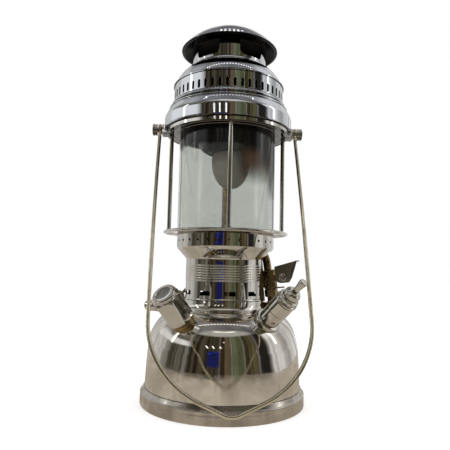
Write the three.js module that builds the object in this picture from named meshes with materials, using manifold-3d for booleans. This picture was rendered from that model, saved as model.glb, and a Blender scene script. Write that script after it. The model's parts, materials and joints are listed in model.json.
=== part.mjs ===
// Kerosene pressure lantern: tank, burner, cage, glass, hood and carrying bail.
// Millimetres, +Z up. Heights are counted from the table under the foot, and the
// finished group is lowered so that z = 0 is the flat underside of the tank.
// Azimuth 0 looks out of the front (-Y) and grows towards +X.

import * as THREE from 'three';
import { mergeVertices } from 'three/addons/utils/BufferGeometryUtils.js';
import Module from 'manifold-3d';

const wasm = await Module();
wasm.setup();

// Clearances and facet counts
const seatGap = 0.3;
const runningGap = 0.35;
const overrun = 3;
const bigSides = 24;
const ventSides = 50;
const mediumSides = 16;
const smallSides = 12;
const fineSides = 8;
const holeSides = 5;
const roundSteps = 6;
const domeSteps = 4;
const shoulderSteps = 5;
const wireFacets = 3;
const pipeFacets = 4;

// Tank: side wall, shoulder, neck and underside
const tankWall = 1.2;
const tankRadius = 80.5;
const tankSideBottom = 17;
const tankSideHeight = 26;
const creaseInset = 1.2;
const creaseRadius = tankRadius - creaseInset;
const creaseHeight = tankSideBottom + tankSideHeight;
const creaseStep = 0.5;
const upperSideHeight = 15;
const shoulderInset = 2.2;
const shoulderRadius = tankRadius - shoulderInset;
const shoulderHeight = creaseHeight + upperSideHeight;
const shoulderRise = 18;
const shoulderLean = 0.8;
const crownReach = 18;
const crownDrop = 2;
const neckRadius = 42.5;
const neckFlare = 5.5;
const neckFootRadius = neckRadius + neckFlare;
const tankDomeHeight = 37;
const neckFootHeight = shoulderHeight + tankDomeHeight;
const neckLength = 10;
const neckHeight = neckFootHeight + neckLength;
const neckRimWidth = 2.4;
const neckFillet = 1.4;
const deckDrop = 3;
const baseRecess = 3;
const panSkirtHeight = 21;

// Foot: flared ring under the tank with a folded hem
const footTopStep = 1.5;
const footFlare = 3;
const footTopRadius = tankRadius + footTopStep;
const footRadius = footTopRadius + footFlare;
const footWall = 1.5;
const footStraight = 7.5;
const footHemWidth = 3.5;
const footBeadHeight = 12.6;
const footBeadWidth = 1.5;
const footBeadRise = 0.4;

// Filler neck, cap and pressure gauge, on one slanted axis
const fillerAzimuth = -38.7;
const fillerElevation = 44;
const fillerInset = 14.5;
const fillerBaseRadius = tankRadius - fillerInset;
const fillerBore = 7.5;
const fillerNeckRadius = 10.3;
const fillerNeckLength = 9;
const fillerSocketDepth = 7;
const capStart = 5.6;
const capLength = 31.6;
const capAcrossFlats = 25;
const capEndRadius = 11.7;
const capChamfer = 2.6;
const capSkirtDepth = 5;
const gasketThickness = 1.6;
const gaugeRecessRadius = 9.6;
const gaugeRecessDepth = 6;
const gaugeDialThickness = 1;
const gaugePointerLength = 6.6;
const gaugePointerWidth = 0.9;
const gaugePointerThickness = 0.4;
const gaugeHubRadius = 1.3;
const gaugeHubHeight = 1.5;
const gaugePointerLift = 0.35;
const gaugeBezelHeight = 3;
const gaugeBezelLip = 1.7;
const gaugeGlassRise = 2.6;
const gaugeGlassWall = 1;

// Vent screw on the side of the filler cap
const ventHeight = 15.4;
const ventBossRadius = 5.6;
const ventBossReach = 17.2;
const ventScrewRadius = 2.4;
const ventKnobRadius = 5.4;
const ventKnobReach = 35;
const ventKnobLength = 15;
const ventScrewDepth = 5;

// Hand pump, on its own slanted axis
const pumpAzimuth = 38.3;
const pumpElevation = 41;
const pumpInset = 16.5;
const pumpBaseRadius = tankRadius - pumpInset;
const pumpBarrelRadius = 9.7;
const pumpBarrelWall = 1.4;
const pumpBarrelInside = 78;
const pumpHousingRadius = 10.7;
const pumpHousingTop = 31;
const pumpSocketRadius = 13.4;
const pumpSocketHeight = 4;
const pumpSocketDepth = 8;
const pumpRingRadius = 11.6;
const pumpRingHeight = 5;
const pumpThreadRadius = 7.6;
const pumpThreadHeight = 2.5;
const glandNutAcrossFlats = 13.8;
const glandNutHeight = 7.6;
const glandNutChamfer = 1.2;
const pumpRodRadius = 1.9;
const pumpKnobLength = 13;
const pumpKnobNeckRadius = 2.9;
const pumpKnobEndRadius = 3.9;
const pumpKnobBoreDepth = 6;
const pumpPistonHeight = 7;
const pumpPistonCup = 1.5;
const pistonNutHeight = 3;
const pistonNutAcrossFlats = 8;
const checkValveHeight = 8;
const checkValveBore = 1.2;

// Rapid preheater: a small blow lamp that stands beside the collar
const preheaterAzimuth = 85.5;
const preheaterLean = 6.5;
const preheaterOffset = 4.6;
const preheaterBaseRadius = neckFootRadius + preheaterOffset;
const preheaterSocketRadius = 8.2;
const preheaterSocketHeight = 3;
const preheaterSocketDepth = 6;
const preheaterStemRadius = 4.6;
const preheaterUnionRadius = 9.6;
const preheaterUnionHeight = 6.5;
const preheaterNutStart = 15;
const preheaterNutHeight = 8;
const preheaterNutAcrossFlats = 12.4;
const preheaterFlangeHeight = 1.2;
const preheaterFlangeRadius = 6.9;
const preheaterBodyRadius = 7.2;
const preheaterBodyHeight = 20.4;
const preheaterBodyBore = 2;
const preheaterValveRadius = 1.4;
const preheaterTubeRadius = 4.5;
const preheaterTubeBore = 3.3;
const preheaterTubeRise = 13;
const preheaterTubeEndRise = 24;
const preheaterTubeEndReach = 15;
const preheaterAirHole = 1.1;
const preheaterAirHoleHeight = 8;
const preheaterDipRadius = 2.2;
const preheaterDipLength = 66;
const valveTravel = 2.6;
const bracketReach = 16;
const bracketWidth = 8;
const bracketThickness = 5;
const leverPinReach = 12.2;
const leverPinHeight = 34.6;
const leverPinRadius = 1.6;
const leverPinHeadRadius = 4.2;
const leverPinHeadHeight = 1.4;
const leverThickness = 1.2;
const leverOffset = 7.9;
const leverInner = 7;
const leverOuterTop = 17.2;
const leverTopInner = 12.2;
const leverTopOuter = 16.6;
const leverOuterBottom = 9.4;
const leverBottom = 5.6;
const leverCorner = 2.4;
const leverLip = 2.2;
const leverFlange = 3;

// Collar between the tank and the glass plate
const collarWall = 1;
const collarInset = 1.2;
const collarRadius = neckRadius - collarInset;
const collarBeadStep = 0.9;
const collarBeadRadius = collarRadius + collarBeadStep;
const collarBeadHeight = 2;
const collarRibs = 7;
const collarRibPitch = 2.55;
const collarSkirtHeight = 19.5;
const collarRibStart = neckHeight + collarSkirtHeight;
const collarRibRise = 0.6;
const collarPlainHeight = 5.05;
const collarWaist = collarRibStart + collarRibs * collarRibPitch + collarPlainHeight;
const collarConeHeight = 11.6;
const collarConeTop = collarWaist + collarConeHeight;
const collarBandHeight = 15.9;
const collarBandStep = 10.5;
const collarBandRadius = collarRadius + collarBandStep;
const collarBandFillet = 1.4;
const collarHoleCount = 30;
const collarHoleTurn = 1.3;
const collarHoleRadius = 1.15;
const collarHoleShare = 0.44;
const collarHoleHeight = collarConeTop + collarBandHeight * collarHoleShare;
const collarSlotCount = 10;
const collarSlotTurn = 5.3;
const collarSlotWidth = 11.4;
const collarSlotHeight = 4.5;
const collarSlotRise = 7.8;
const collarSlotMiddle = neckHeight + collarSlotRise;
const collarDoorWidth = 29;
const collarDoorDrop = 2;
const collarDoorTop = collarConeTop - collarDoorDrop;
const collarShaftHole = 4.9;

// Glass plate, cage rods and top ring
const plateHeight = collarConeTop + collarBandHeight + seatGap;
const plateThickness = 1.5;
const plateHoleRadius = 31;
const plateRadius = 66.5;
const plateRollWidth = 3;
const plateRollDrop = 2.4;
const plateRollRise = 0.4;
const rodCircle = 61;
const rodRadius = 2.2;
const rodLength = 103.7;
const ringHeight = plateHeight + plateThickness + seatGap + rodLength + seatGap;
const ringStep = 2.2;
const ringThickness = 4;
const ringRadius = 66.5;
const ringLipRadius = 49.6;
const glassRadius = 52;
const glassWall = 1.8;
const rodCount = 4;

// Ears on the top ring, their studs and the bail
const pivotRise = 6;
const pivotHeight = ringHeight + pivotRise;
const earInner = 69.8;
const earThickness = 1.6;
const earWidth = 13;
const studShankRadius = 2.4;
const studKnobRadius = 6.4;
const studKnobStart = 76.5;
const studKnobEnd = 82.4;
const studGroove = 0.8;
const studNoseRadius = 3.6;
const bailWire = 1.85;
const bailTilt = 26.7;
const bailEyeGap = 0.45;
const bailMiddleWidth = 73.5;
const bailCornerWidth = 71;
const bailDrop = 296.9;
const bailCornerStart = 214.3;
const bailCornerRadius = 78.3;
const bailCornerTurn = 62;
const bailTipFillet = 5;
const bailLean = 1.9;
const bailSteps = 46;

// Hood: skirt, vent band, crown, neck with its posts, and cap
const hoodWall = 1;
const hoodRimRadius = 69;
const hoodRimInner = 65.4;
const hoodRimHeight = 3;
const hoodRimLow = ringHeight + ringThickness + seatGap;
const hoodSkirtWallHeight = 13.7;
const hoodSkirtShoulder = hoodRimLow + hoodSkirtWallHeight;
const hoodConeHeight = 17.2;
const hoodSkirtTop = hoodSkirtShoulder + hoodConeHeight;
const hoodBandRadius = 59.6;
const hoodBandHeight = 17.2;
const hoodBandTop = hoodSkirtTop + hoodBandHeight;
const hoodBeadRise = 1;
const hoodBeadHeight = 2;
const hoodBeadGap = 3.8;
const hoodTurn = -2.7;
const ventSlotCount = 50;
const ventSlotTurn = 3.1;
const ventSlotWidth = 2.3;
const ventSlotHeight = 8.8;
const ventSlotRise = 5.4;
const ventSlotMiddle = hoodSkirtTop + ventSlotRise;
const crownHeight = 21;
const crownTop = hoodBandTop + crownHeight;
const crownTopRadius = 42.6;
const crownBulge = 0.86;
const chimneyRadius = 40.5;
const chimneyPosts = 5;
const postTopWidth = 18.6;
const postBottomWidth = 30;
const postFlareHeight = 8;
const windowSill = 5;
const windowHeight = 16.4;
const windowBottom = crownTop + windowSill;
const windowTop = windowBottom + windowHeight;
const capRadius = 52.5;
const capRimRise = 1;
const capRimHeight = windowTop + capRimRise;
const capRise = 25;
const capBossRadius = 19;
const capBossRise = 0.8;
const chimneyInCap = 9.6;
const chimneyTop = capRimHeight + chimneyInCap;
const capBead = 1.5;
const hoodScrewRadius = 1.7;
const hoodScrewLength = 7;
const hoodScrewHeadRadius = 3.4;
const hoodScrewHeadHeight = 1.6;

// Inner casing and burner, which lift off with the hood
const casingRadius = 47.6;
const casingDrop = 4;
const casingBottom = ringHeight - casingDrop;
const casingCylinderHeight = 45;
const casingCylinderTop = casingBottom + casingCylinderHeight;
const casingThroatRadius = 37.4;
const casingConeHeight = 21;
const casingThroatHeight = casingCylinderTop + casingConeHeight;
const casingFlangeWidth = 2;
const casingRollRadius = 48.9;
const vaporizerOffset = 25;
const vaporizerAzimuth = 175;
const mixingTubeRadius = 7;
const mixingTubeWall = 1.2;
const bracketRise = 23;
const bracketBarHeight = casingBottom + bracketRise;
const mixingTubeMouthDrop = 2.5;
const mixingTubeRise = 6;
const mixingTubeMouth = bracketBarHeight - mixingTubeMouthDrop;
const mixingTubeTop = bracketBarHeight + mixingTubeRise;
const bracketBarWidth = 9;
const bracketBarThickness = 2;
const bracketRingWidth = 4;
const chamberRadius = 32;
const chamberBodyRadius = 19.6;
const chamberFloorRadius = 20;
const chamberBowlRadius = 28.4;
const chamberBowlRise = 4;
const chamberBowlHeight = 9;
const chamberDepth = 18;
const chamberNeckLength = 11;
const chamberNeckDrop = 9;
const chamberNeckTop = bracketBarHeight - chamberNeckDrop;
const chamberTop = chamberNeckTop - chamberNeckLength;
const chamberBottom = chamberTop - chamberDepth;
const chamberWall = 1.2;
const chamberNeckRadius = 11;
const nozzleRadius = 10;
const nozzleLength = 4.5;
const nozzleBore = 5.5;
const nozzleFlangeRadius = 13;
const nozzleFlangeHeight = 2;
const nozzleLip = 1.2;
const mantleRadius = 21;
const mantleLength = 38.5;
const mantleTopRadius = 15.6;
const mantleSideLean = 3.8;
const mantleFrontLean = 2;
const mantleRiseShares = [0.03, 0.16, 0.34, 0.6, 0.8, 0.93];
const mantleWidthShares = [0.33, 0.64, 0.86, 1, 1, 0.84];

// Vaporizer with its foot, nipple, needle, spirit cup and tank fittings
const bushFlangeRadius = 11.5;
const bushFlangeHeight = 3;
const bushRadius = 7.6;
const bushBore = 5;
const bushDepth = 7;
const riserRadius = 4.2;
const riserBore = 2.6;
const riserClearance = 5;
const footBlockNeckRadius = 6;
const footBlockRadius = 8.4;
const footBlockBodyRise = 23;
const footBlockBodyBottom = neckHeight + footBlockBodyRise;
const vaporizerTubeRadius = 4.5;
const vaporizerBore = 2.2;
const vaporizerRise = 4;
const vaporizerTop = chamberTop + vaporizerRise;
const nippleRadius = 3.4;
const nippleLength = 7.5;
const nippleTip = vaporizerTop + nippleLength;
const nippleBore = 0.6;
const nippleAcrossFlats = 8;
const nippleCollarHeight = 3;
const needleRadius = 1;
const needleTravel = 2;
const cupRise = 1;
const cupHeight = collarConeTop + cupRise;
const cupDepth = 10;
const cupOuterRadius = 20;
const cupWall = 0.9;

// Control spindle and its knurled knob
const spindleExitAzimuth = -117;
const spindleExitRise = 13;
const spindleExitHeight = neckHeight + spindleExitRise;
const spindleTilt = 43.5;
const spindleRadius = 1.9;
const spindleReach = 19;
const spindleInset = -3;
const controlKnobRadius = 8.1;
const controlKnobWidth = 6;
const controlKnobTeeth = 24;
const controlKnobToothDepth = 0.5;
const controlKnobHubRadius = 4.2;
const controlKnobHubRise = 1.6;
const controlKnobBoreDepth = 4;
const spindleGlandAcrossFlats = 8.4;
const spindleGlandLength = 6;

// Finishes
const finishes = {
  chrome: [0xd3d8de, 0.14, 1],
  nickel: [0xb9b4a8, 0.22, 1],
  satin: [0xa49d90, 0.42, 1],
  brass: [0xa07a3a, 0.34, 1],
  steel: [0x8d8a80, 0.38, 1],
  darkSteel: [0x4a443d, 0.6, 0.8],
  glass: [0xcdd6cc, 0.06, 0],
  ceramic: [0xd8d2c6, 0.8, 0],
  mantle: [0x8e8580, 0.95, 0],
  leather: [0x5b4030, 0.8, 0],
  rubber: [0x262422, 0.85, 0],
  dial: [0xe6e2d6, 0.5, 0],
};

function finish(name) {
  const [color, roughness, metalness] = finishes[name];
  const material = new THREE.MeshStandardMaterial({ color, roughness, metalness });
  if (name === 'glass') {
    material.transparent = true;
    material.opacity = 0.4;
  }
  return material;
}

// Angles, places and frames
const rad = THREE.MathUtils.degToRad;
const fullTurn = 360;
const quarterTurn = 90;

function onCircle(radius, azimuth, height = 0) {
  const turn = rad(azimuth);
  return new THREE.Vector3(radius * Math.sin(turn), -radius * Math.cos(turn), height);
}

function axisFrame(origin, axis, upward) {
  const along = axis.clone().normalize();
  const across = new THREE.Vector3().crossVectors(upward, along).normalize();
  const over = new THREE.Vector3().crossVectors(along, across);
  return new THREE.Matrix4().makeBasis(across, over, along).setPosition(origin);
}

function fittingFrame(origin, azimuth, elevation) {
  const a = rad(azimuth);
  const e = rad(elevation);
  const across = new THREE.Vector3(Math.cos(a), Math.sin(a), 0);
  const along = new THREE.Vector3(
    Math.sin(a) * Math.cos(e),
    -Math.cos(a) * Math.cos(e),
    Math.sin(e),
  );
  const over = new THREE.Vector3().crossVectors(along, across);
  return new THREE.Matrix4().makeBasis(across, over, along).setPosition(origin);
}

// Solids: a three.js geometry becomes a closed solid for joins and cuts, and comes back
function closedIndex(geometry) {
  const bare = geometry.clone();
  for (const name of Object.keys(bare.attributes)) {
    if (name !== 'position') bare.deleteAttribute(name);
  }
  const merged = mergeVertices(bare, 1e-4);
  const index = merged.index.array;
  const kept = [];
  for (let i = 0; i < index.length; i += 3) {
    const [a, b, c] = [index[i], index[i + 1], index[i + 2]];
    if (a !== b && b !== c && c !== a) kept.push(a, b, c);
  }
  merged.setIndex(kept);
  return merged;
}

function signedVolume(geometry) {
  const p = geometry.attributes.position;
  const index = geometry.index.array;
  const [a, b, c] = [new THREE.Vector3(), new THREE.Vector3(), new THREE.Vector3()];
  let total = 0;
  for (let i = 0; i < index.length; i += 3) {
    a.fromBufferAttribute(p, index[i]);
    b.fromBufferAttribute(p, index[i + 1]);
    c.fromBufferAttribute(p, index[i + 2]);
    total += a.dot(b.cross(c));
  }
  return total;
}

function facingOut(geometry) {
  const closed = closedIndex(geometry);
  if (signedVolume(closed) < 0) {
    const index = closed.index.array;
    for (let i = 0; i < index.length; i += 3) {
      [index[i + 1], index[i + 2]] = [index[i + 2], index[i + 1]];
    }
  }
  return closed;
}

function solid(geometry) {
  const closed = facingOut(geometry);
  return new wasm.Manifold(new wasm.Mesh({
    numProp: 3,
    vertProperties: new Float32Array(closed.attributes.position.array),
    triVerts: new Uint32Array(closed.index.array),
  }));
}

function geometryOf(body) {
  const mesh = body.getMesh();
  const geometry = new THREE.BufferGeometry();
  const points = new Float32Array(mesh.vertProperties);
  geometry.setAttribute('position', new THREE.BufferAttribute(points, mesh.numProp));
  geometry.setIndex(new THREE.BufferAttribute(new Uint32Array(mesh.triVerts), 1));
  return geometry;
}

function moved(body, matrix) {
  return body.transform(matrix.elements);
}

function shifted(body, x, y, z) {
  return moved(body, new THREE.Matrix4().makeTranslation(x, y, z));
}

function turned(body, azimuth) {
  return moved(body, new THREE.Matrix4().makeRotationZ(rad(azimuth)));
}

// Basic forms
function points(...pairs) {
  return pairs.map(([radius, height]) => new THREE.Vector2(radius, height));
}

function revolved(profile, sides) {
  const geometry = new THREE.LatheGeometry(profile, sides);
  geometry.rotateX(rad(90));
  return solid(geometry);
}

function tube(outer, inner, low, high, sides) {
  return revolved(points([inner, low], [outer, low], [outer, high], [inner, high], [inner, low]), sides);
}

function rod(radius, low, high, sides) {
  return revolved(points([0, low], [radius, low], [radius, high], [0, high]), sides);
}

function slab(shape, depth) {
  return solid(new THREE.ExtrudeGeometry(shape, {
    depth,
    bevelEnabled: false,
    curveSegments: roundSteps,
  }));
}

function box(width, length, height) {
  return solid(new THREE.BoxGeometry(width, length, height));
}

function polygon(sides, acrossFlats) {
  const corner = acrossFlats / 2 / Math.cos(Math.PI / sides);
  const shape = new THREE.Shape();
  for (let i = 0; i < sides; i += 1) {
    const turn = (2 * Math.PI * (i + 1 / 2)) / sides;
    const [x, y] = [corner * Math.cos(turn), corner * Math.sin(turn)];
    if (i === 0) shape.moveTo(x, y);
    else shape.lineTo(x, y);
  }
  shape.closePath();
  return shape;
}

function hexBar(acrossFlats, low, high) {
  return shifted(slab(polygon(6, acrossFlats), high - low), 0, 0, low);
}

// A hexagon whose corners are turned down to a cone at both ends
function hexNut(acrossFlats, low, high, chamfer) {
  const corner = acrossFlats / Math.sqrt(3);
  const inner = acrossFlats / 2 - chamfer * (1 - Math.cos(rad(30)));
  const turnedBar = revolved(points(
    [0, low],
    [inner, low],
    [corner + chamfer / 2, low + chamfer],
    [corner + chamfer / 2, high - chamfer],
    [inner, high],
    [0, high],
  ), mediumSides);
  return hexBar(acrossFlats, low, high).intersect(turnedBar);
}

function crossShaft(radius, low, high, sides, height) {
  const shaft = moved(rod(radius, low, high, sides), new THREE.Matrix4().makeRotationX(rad(90)));
  return shifted(shaft, 0, 0, height);
}

function swept(curve, radius, sides, steps, inner = 0) {
  const section = new THREE.Shape();
  section.absarc(0, 0, radius, 0, 2 * Math.PI, false);
  if (inner > 0) {
    const hole = new THREE.Path();
    hole.absarc(0, 0, inner, 0, 2 * Math.PI, true);
    section.holes.push(hole);
  }
  return solid(new THREE.ExtrudeGeometry(section, {
    steps,
    extrudePath: curve,
    curveSegments: sides,
    bevelEnabled: false,
  }));
}

// Scene graph
const lantern = new THREE.Group();
lantern.position.z = -baseRecess;

function add(name, finishName, body, parent = lantern) {
  const mesh = new THREE.Mesh(geometryOf(body), finish(finishName));
  mesh.name = name;
  parent.add(mesh);
  return mesh;
}

function groupAt(matrix) {
  const group = new THREE.Group();
  group.applyMatrix4(matrix);
  lantern.add(group);
  return group;
}

// Outline of the tank from its lower edge to its neck, grown outward by a margin
function tankOutline(grow) {
  const path = new THREE.Path();
  path.moveTo(tankRadius + grow, tankSideBottom);
  path.lineTo(creaseRadius + creaseStep + grow, creaseHeight);
  path.lineTo(creaseRadius + grow, creaseHeight + creaseStep);
  path.lineTo(shoulderRadius + grow, shoulderHeight);
  path.bezierCurveTo(
    shoulderRadius - shoulderLean + grow, shoulderHeight + shoulderRise + grow,
    neckFootRadius + crownReach + grow, neckFootHeight - crownDrop + grow,
    neckFootRadius + grow, neckFootHeight + grow,
  );
  path.lineTo(neckRadius + neckFillet + grow, neckFootHeight + neckFillet * 2 + grow);
  path.lineTo(neckRadius + grow, neckHeight + Math.max(grow, 0));
  return path.getPoints(shoulderSteps);
}

// Height of the shoulder's outer face at a radius, found along its curve
function shoulderHeightAt(radius) {
  const outline = tankOutline(0);
  for (let i = 1; i < outline.length; i += 1) {
    const [low, high] = [outline[i - 1], outline[i]];
    if (low.y >= shoulderHeight && high.x <= radius && radius <= low.x) {
      const share = (low.x - radius) / (low.x - high.x);
      return low.y + share * (high.y - low.y);
    }
  }
  return neckFootHeight;
}

const fillerFrame = fittingFrame(
  onCircle(fillerBaseRadius, fillerAzimuth, shoulderHeightAt(fillerBaseRadius)),
  fillerAzimuth,
  fillerElevation,
);
const pumpFrame = fittingFrame(
  onCircle(pumpBaseRadius, pumpAzimuth, shoulderHeightAt(pumpBaseRadius)),
  pumpAzimuth,
  pumpElevation,
);
const preheaterFrame = fittingFrame(
  onCircle(preheaterBaseRadius, preheaterAzimuth, shoulderHeightAt(preheaterBaseRadius)),
  preheaterAzimuth,
  quarterTurn + preheaterLean,
);
const vaporizerPlace = onCircle(vaporizerOffset, vaporizerAzimuth);

// Solid block of the tank's outside, grown by the seat gap, that trims what stands on it
const tankBlock = revolved([
  new THREE.Vector2(0, tankSideBottom),
  ...tankOutline(seatGap),
  new THREE.Vector2(0, neckHeight + seatGap),
], bigSides);

function seatedOnTank(body, frame) {
  return moved(moved(body, frame).subtract(tankBlock), frame.clone().invert());
}

// Tank
const deckHeight = neckHeight - deckDrop;

function tankShell() {
  const outside = tankOutline(0);
  const inside = tankOutline(-tankWall).reverse();
  const profile = [
    new THREE.Vector2(0, deckHeight - tankWall),
    new THREE.Vector2(neckRadius - tankWall, deckHeight - tankWall),
    ...inside.slice(1),
    ...outside,
    new THREE.Vector2(neckRadius - neckRimWidth, neckHeight),
    new THREE.Vector2(neckRadius - neckRimWidth, deckHeight),
    new THREE.Vector2(0, deckHeight),
  ];
  const fillerCut = rod(fillerBore + seatGap, -fillerSocketDepth * 2, fillerSocketDepth, smallSides);
  const fillerHole = moved(fillerCut, fillerFrame);
  const pumpHole = moved(
    rod(pumpBarrelRadius + seatGap, -pumpSocketDepth * 2, pumpSocketDepth, mediumSides),
    pumpFrame,
  );
  const preheaterHole = moved(
    rod(preheaterDipRadius + seatGap, -preheaterSocketDepth, preheaterSocketDepth, fineSides),
    preheaterFrame,
  );
  const bushHole = shifted(
    rod(bushRadius + seatGap, deckHeight - tankWall - overrun, deckHeight + overrun, smallSides),
    vaporizerPlace.x, vaporizerPlace.y, 0,
  );
  return revolved(profile, bigSides)
    .subtract(fillerHole)
    .subtract(pumpHole)
    .subtract(preheaterHole)
    .subtract(bushHole);
}

function tankBasePlate() {
  const rim = tankRadius - tankWall - seatGap;
  return revolved(points(
    [0, baseRecess],
    [rim, baseRecess],
    [rim, baseRecess + panSkirtHeight],
    [rim - tankWall, baseRecess + panSkirtHeight],
    [rim - tankWall, baseRecess + tankWall],
    [0, baseRecess + tankWall],
  ), bigSides);
}

function footRing() {
  const top = tankSideBottom - seatGap;
  const flare = new THREE.Path();
  flare.moveTo(footRadius, 0);
  flare.lineTo(footRadius, footStraight);
  flare.lineTo(footRadius - footBeadRise, footBeadHeight - footBeadWidth);
  flare.lineTo(footRadius, footBeadHeight - footBeadWidth / 2);
  flare.lineTo(footRadius - footBeadRise * 2, footBeadHeight);
  flare.lineTo(footTopRadius, top);
  const outside = flare.getPoints(roundSteps);
  return revolved([
    ...outside,
    ...points(
      [footTopRadius - footWall, top],
      [footRadius - footWall, footStraight],
      [footRadius - footWall, footWall],
      [footRadius - footHemWidth, footWall],
      [footRadius - footHemWidth, 0],
      [footRadius, 0],
    ),
  ], bigSides);
}

add('tank_shell', 'nickel', tankShell());
add('tank_base_plate', 'satin', tankBasePlate());
add('foot_ring', 'satin', footRing());

// Filler neck, cap, gauge and vent screw
const fillerGroup = groupAt(fillerFrame);
const capEnd = capStart + capLength;
const dialTop = capEnd - gaugeRecessDepth + seatGap + gaugeDialThickness;

function fillerNeck() {
  const bore = rod(fillerBore, -fillerSocketDepth * 2, fillerNeckLength + overrun, smallSides);
  const neck = rod(fillerNeckRadius, -fillerSocketDepth, fillerNeckLength, mediumSides);
  return seatedOnTank(neck, fillerFrame).subtract(bore);
}

function fillerCap() {
  const skirtTop = fillerNeckLength + gasketThickness + seatGap * 2;
  const skirt = rod(fillerNeckRadius + seatGap, capStart - overrun, skirtTop, mediumSides);
  const recess = rod(gaugeRecessRadius, capEnd - gaugeRecessDepth, capEnd + overrun, mediumSides);
  const turnedEnd = revolved(points(
    [0, capStart],
    [capEndRadius, capStart],
    [capEndRadius + capChamfer, capStart + capChamfer],
    [capEndRadius + capChamfer, capEnd - capChamfer * 2],
    [capEndRadius, capEnd],
    [0, capEnd],
  ), mediumSides);
  const boss = moved(rod(ventBossRadius, 0, ventBossReach, smallSides), ventFrame);
  const screwHole = moved(
    rod(ventScrewRadius + seatGap, ventBossReach - ventScrewDepth - seatGap, ventKnobReach, smallSides),
    ventFrame,
  );
  return hexBar(capAcrossFlats, capStart, capEnd)
    .intersect(turnedEnd)
    .add(boss)
    .subtract(skirt)
    .subtract(recess)
    .subtract(screwHole);
}

// The vent screw points level to the left, square to the cap's axis
const ventFrame = axisFrame(
  new THREE.Vector3(0, 0, capStart + ventHeight),
  new THREE.Vector3(-1, 0, 0),
  new THREE.Vector3(0, 0, 1),
);

function ventScrew() {
  const start = ventBossReach + seatGap;
  const shoulder = ventKnobReach - ventKnobLength;
  const round = ventKnobRadius / 2;
  return moved(revolved(points(
    [0, ventBossReach - ventScrewDepth],
    [ventScrewRadius, ventBossReach - ventScrewDepth],
    [ventScrewRadius, start],
    [ventKnobRadius, start],
    [ventKnobRadius, shoulder],
    [ventKnobRadius - footBeadRise, shoulder + footBeadWidth],
    [ventKnobRadius, shoulder + footBeadWidth * 2],
    [ventKnobRadius, ventKnobReach - round],
    [ventKnobRadius - round / 3, ventKnobReach - round / 2],
    [round, ventKnobReach],
    [0, ventKnobReach],
  ), smallSides), ventFrame);
}

function gaugeBezel() {
  const top = capEnd + gaugeBezelHeight;
  const low = capEnd + seatGap;
  const seat = gaugeRecessRadius - gaugeBezelLip;
  return revolved(points(
    [gaugeRecessRadius, low],
    [capEndRadius, low],
    [capEndRadius, top - gaugeBezelLip],
    [capEndRadius - gaugeBezelLip, top],
    [seat, top],
    [seat, top - gaugeGlassWall],
    [gaugeRecessRadius, top - gaugeGlassWall],
    [gaugeRecessRadius, low],
  ), mediumSides);
}

function gaugeGlass() {
  const rim = gaugeRecessRadius - seatGap;
  const low = capEnd - gaugeGlassWall;
  const shoulder = capEnd + gaugeBezelHeight - gaugeGlassWall - seatGap;
  const neck = gaugeRecessRadius - gaugeBezelLip - seatGap;
  const dome = [];
  for (let i = 1; i <= 4; i += 1) {
    const angle = rad((90 * i) / 4);
    dome.push([neck * Math.cos(angle), shoulder + gaugeGlassWall + gaugeGlassRise * Math.sin(angle)]);
  }
  dome[3][0] = 0;
  return revolved(points(
    [0, shoulder - gaugeGlassWall],
    [rim - gaugeGlassWall, shoulder - gaugeGlassWall],
    [rim - gaugeGlassWall, low],
    [rim, low],
    [rim, shoulder],
    [neck, shoulder],
    [neck, shoulder + gaugeGlassWall],
    ...dome,
  ), mediumSides);
}

function gaugePointer() {
  const low = dialTop + gaugePointerLift;
  const needle = shifted(
    box(gaugePointerWidth, gaugePointerLength, gaugePointerThickness),
    0, gaugePointerLength / 2 - gaugeHubRadius, low + gaugeHubHeight / 2,
  );
  return rod(gaugeHubRadius, low, low + gaugeHubHeight, fineSides).add(needle);
}

add('filler_neck', 'brass', fillerNeck(), fillerGroup);
add('filler_cap', 'nickel', fillerCap(), fillerGroup);
add('filler_gasket', 'rubber', tube(
  fillerNeckRadius,
  fillerBore,
  fillerNeckLength + seatGap,
  fillerNeckLength + seatGap + gasketThickness,
  mediumSides,
), fillerGroup);
add('vent_screw', 'nickel', ventScrew(), fillerGroup);
add('gauge_dial', 'dial', rod(
  gaugeRecessRadius - seatGap,
  capEnd - gaugeRecessDepth + seatGap,
  dialTop,
  mediumSides,
), fillerGroup);
add('gauge_pointer', 'darkSteel', gaugePointer(), fillerGroup);
add('gauge_glass', 'glass', gaugeGlass(), fillerGroup);
add('gauge_bezel', 'nickel', gaugeBezel(), fillerGroup);

// Hand pump
const pumpGroup = groupAt(pumpFrame);
const pumpBore = pumpBarrelRadius - pumpBarrelWall;
const pumpRingLow = pumpHousingTop + seatGap;
const pumpRingTop = pumpRingLow + pumpRingHeight;
const glandLow = pumpRingTop + pumpThreadHeight + seatGap;
const glandTop = glandLow + glandNutHeight;
const knobLow = glandTop + seatGap * 2;
const knobEnd = knobLow + pumpKnobLength;
const rodEnd = knobLow + pumpKnobBoreDepth - seatGap;
const checkValveTop = -pumpBarrelInside + checkValveHeight;
const rodLow = checkValveTop + seatGap * 3;
const pistonLow = rodLow + pistonNutHeight + seatGap;

function pumpSocket() {
  const ring = rod(pumpSocketRadius, -pumpSocketDepth, pumpSocketHeight, mediumSides);
  const bore = rod(
    pumpBarrelRadius + seatGap,
    -pumpSocketDepth - overrun,
    pumpSocketHeight + overrun,
    mediumSides,
  );
  return seatedOnTank(ring, pumpFrame).subtract(bore);
}

function pumpBarrel() {
  const step = pumpSocketHeight + seatGap;
  return revolved(points(
    [pumpBore, -pumpBarrelInside],
    [pumpBarrelRadius, -pumpBarrelInside],
    [pumpBarrelRadius, step],
    [pumpHousingRadius, step],
    [pumpHousingRadius, pumpHousingTop],
    [pumpBore, pumpHousingTop],
    [pumpBore, -pumpBarrelInside],
  ), mediumSides);
}

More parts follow.
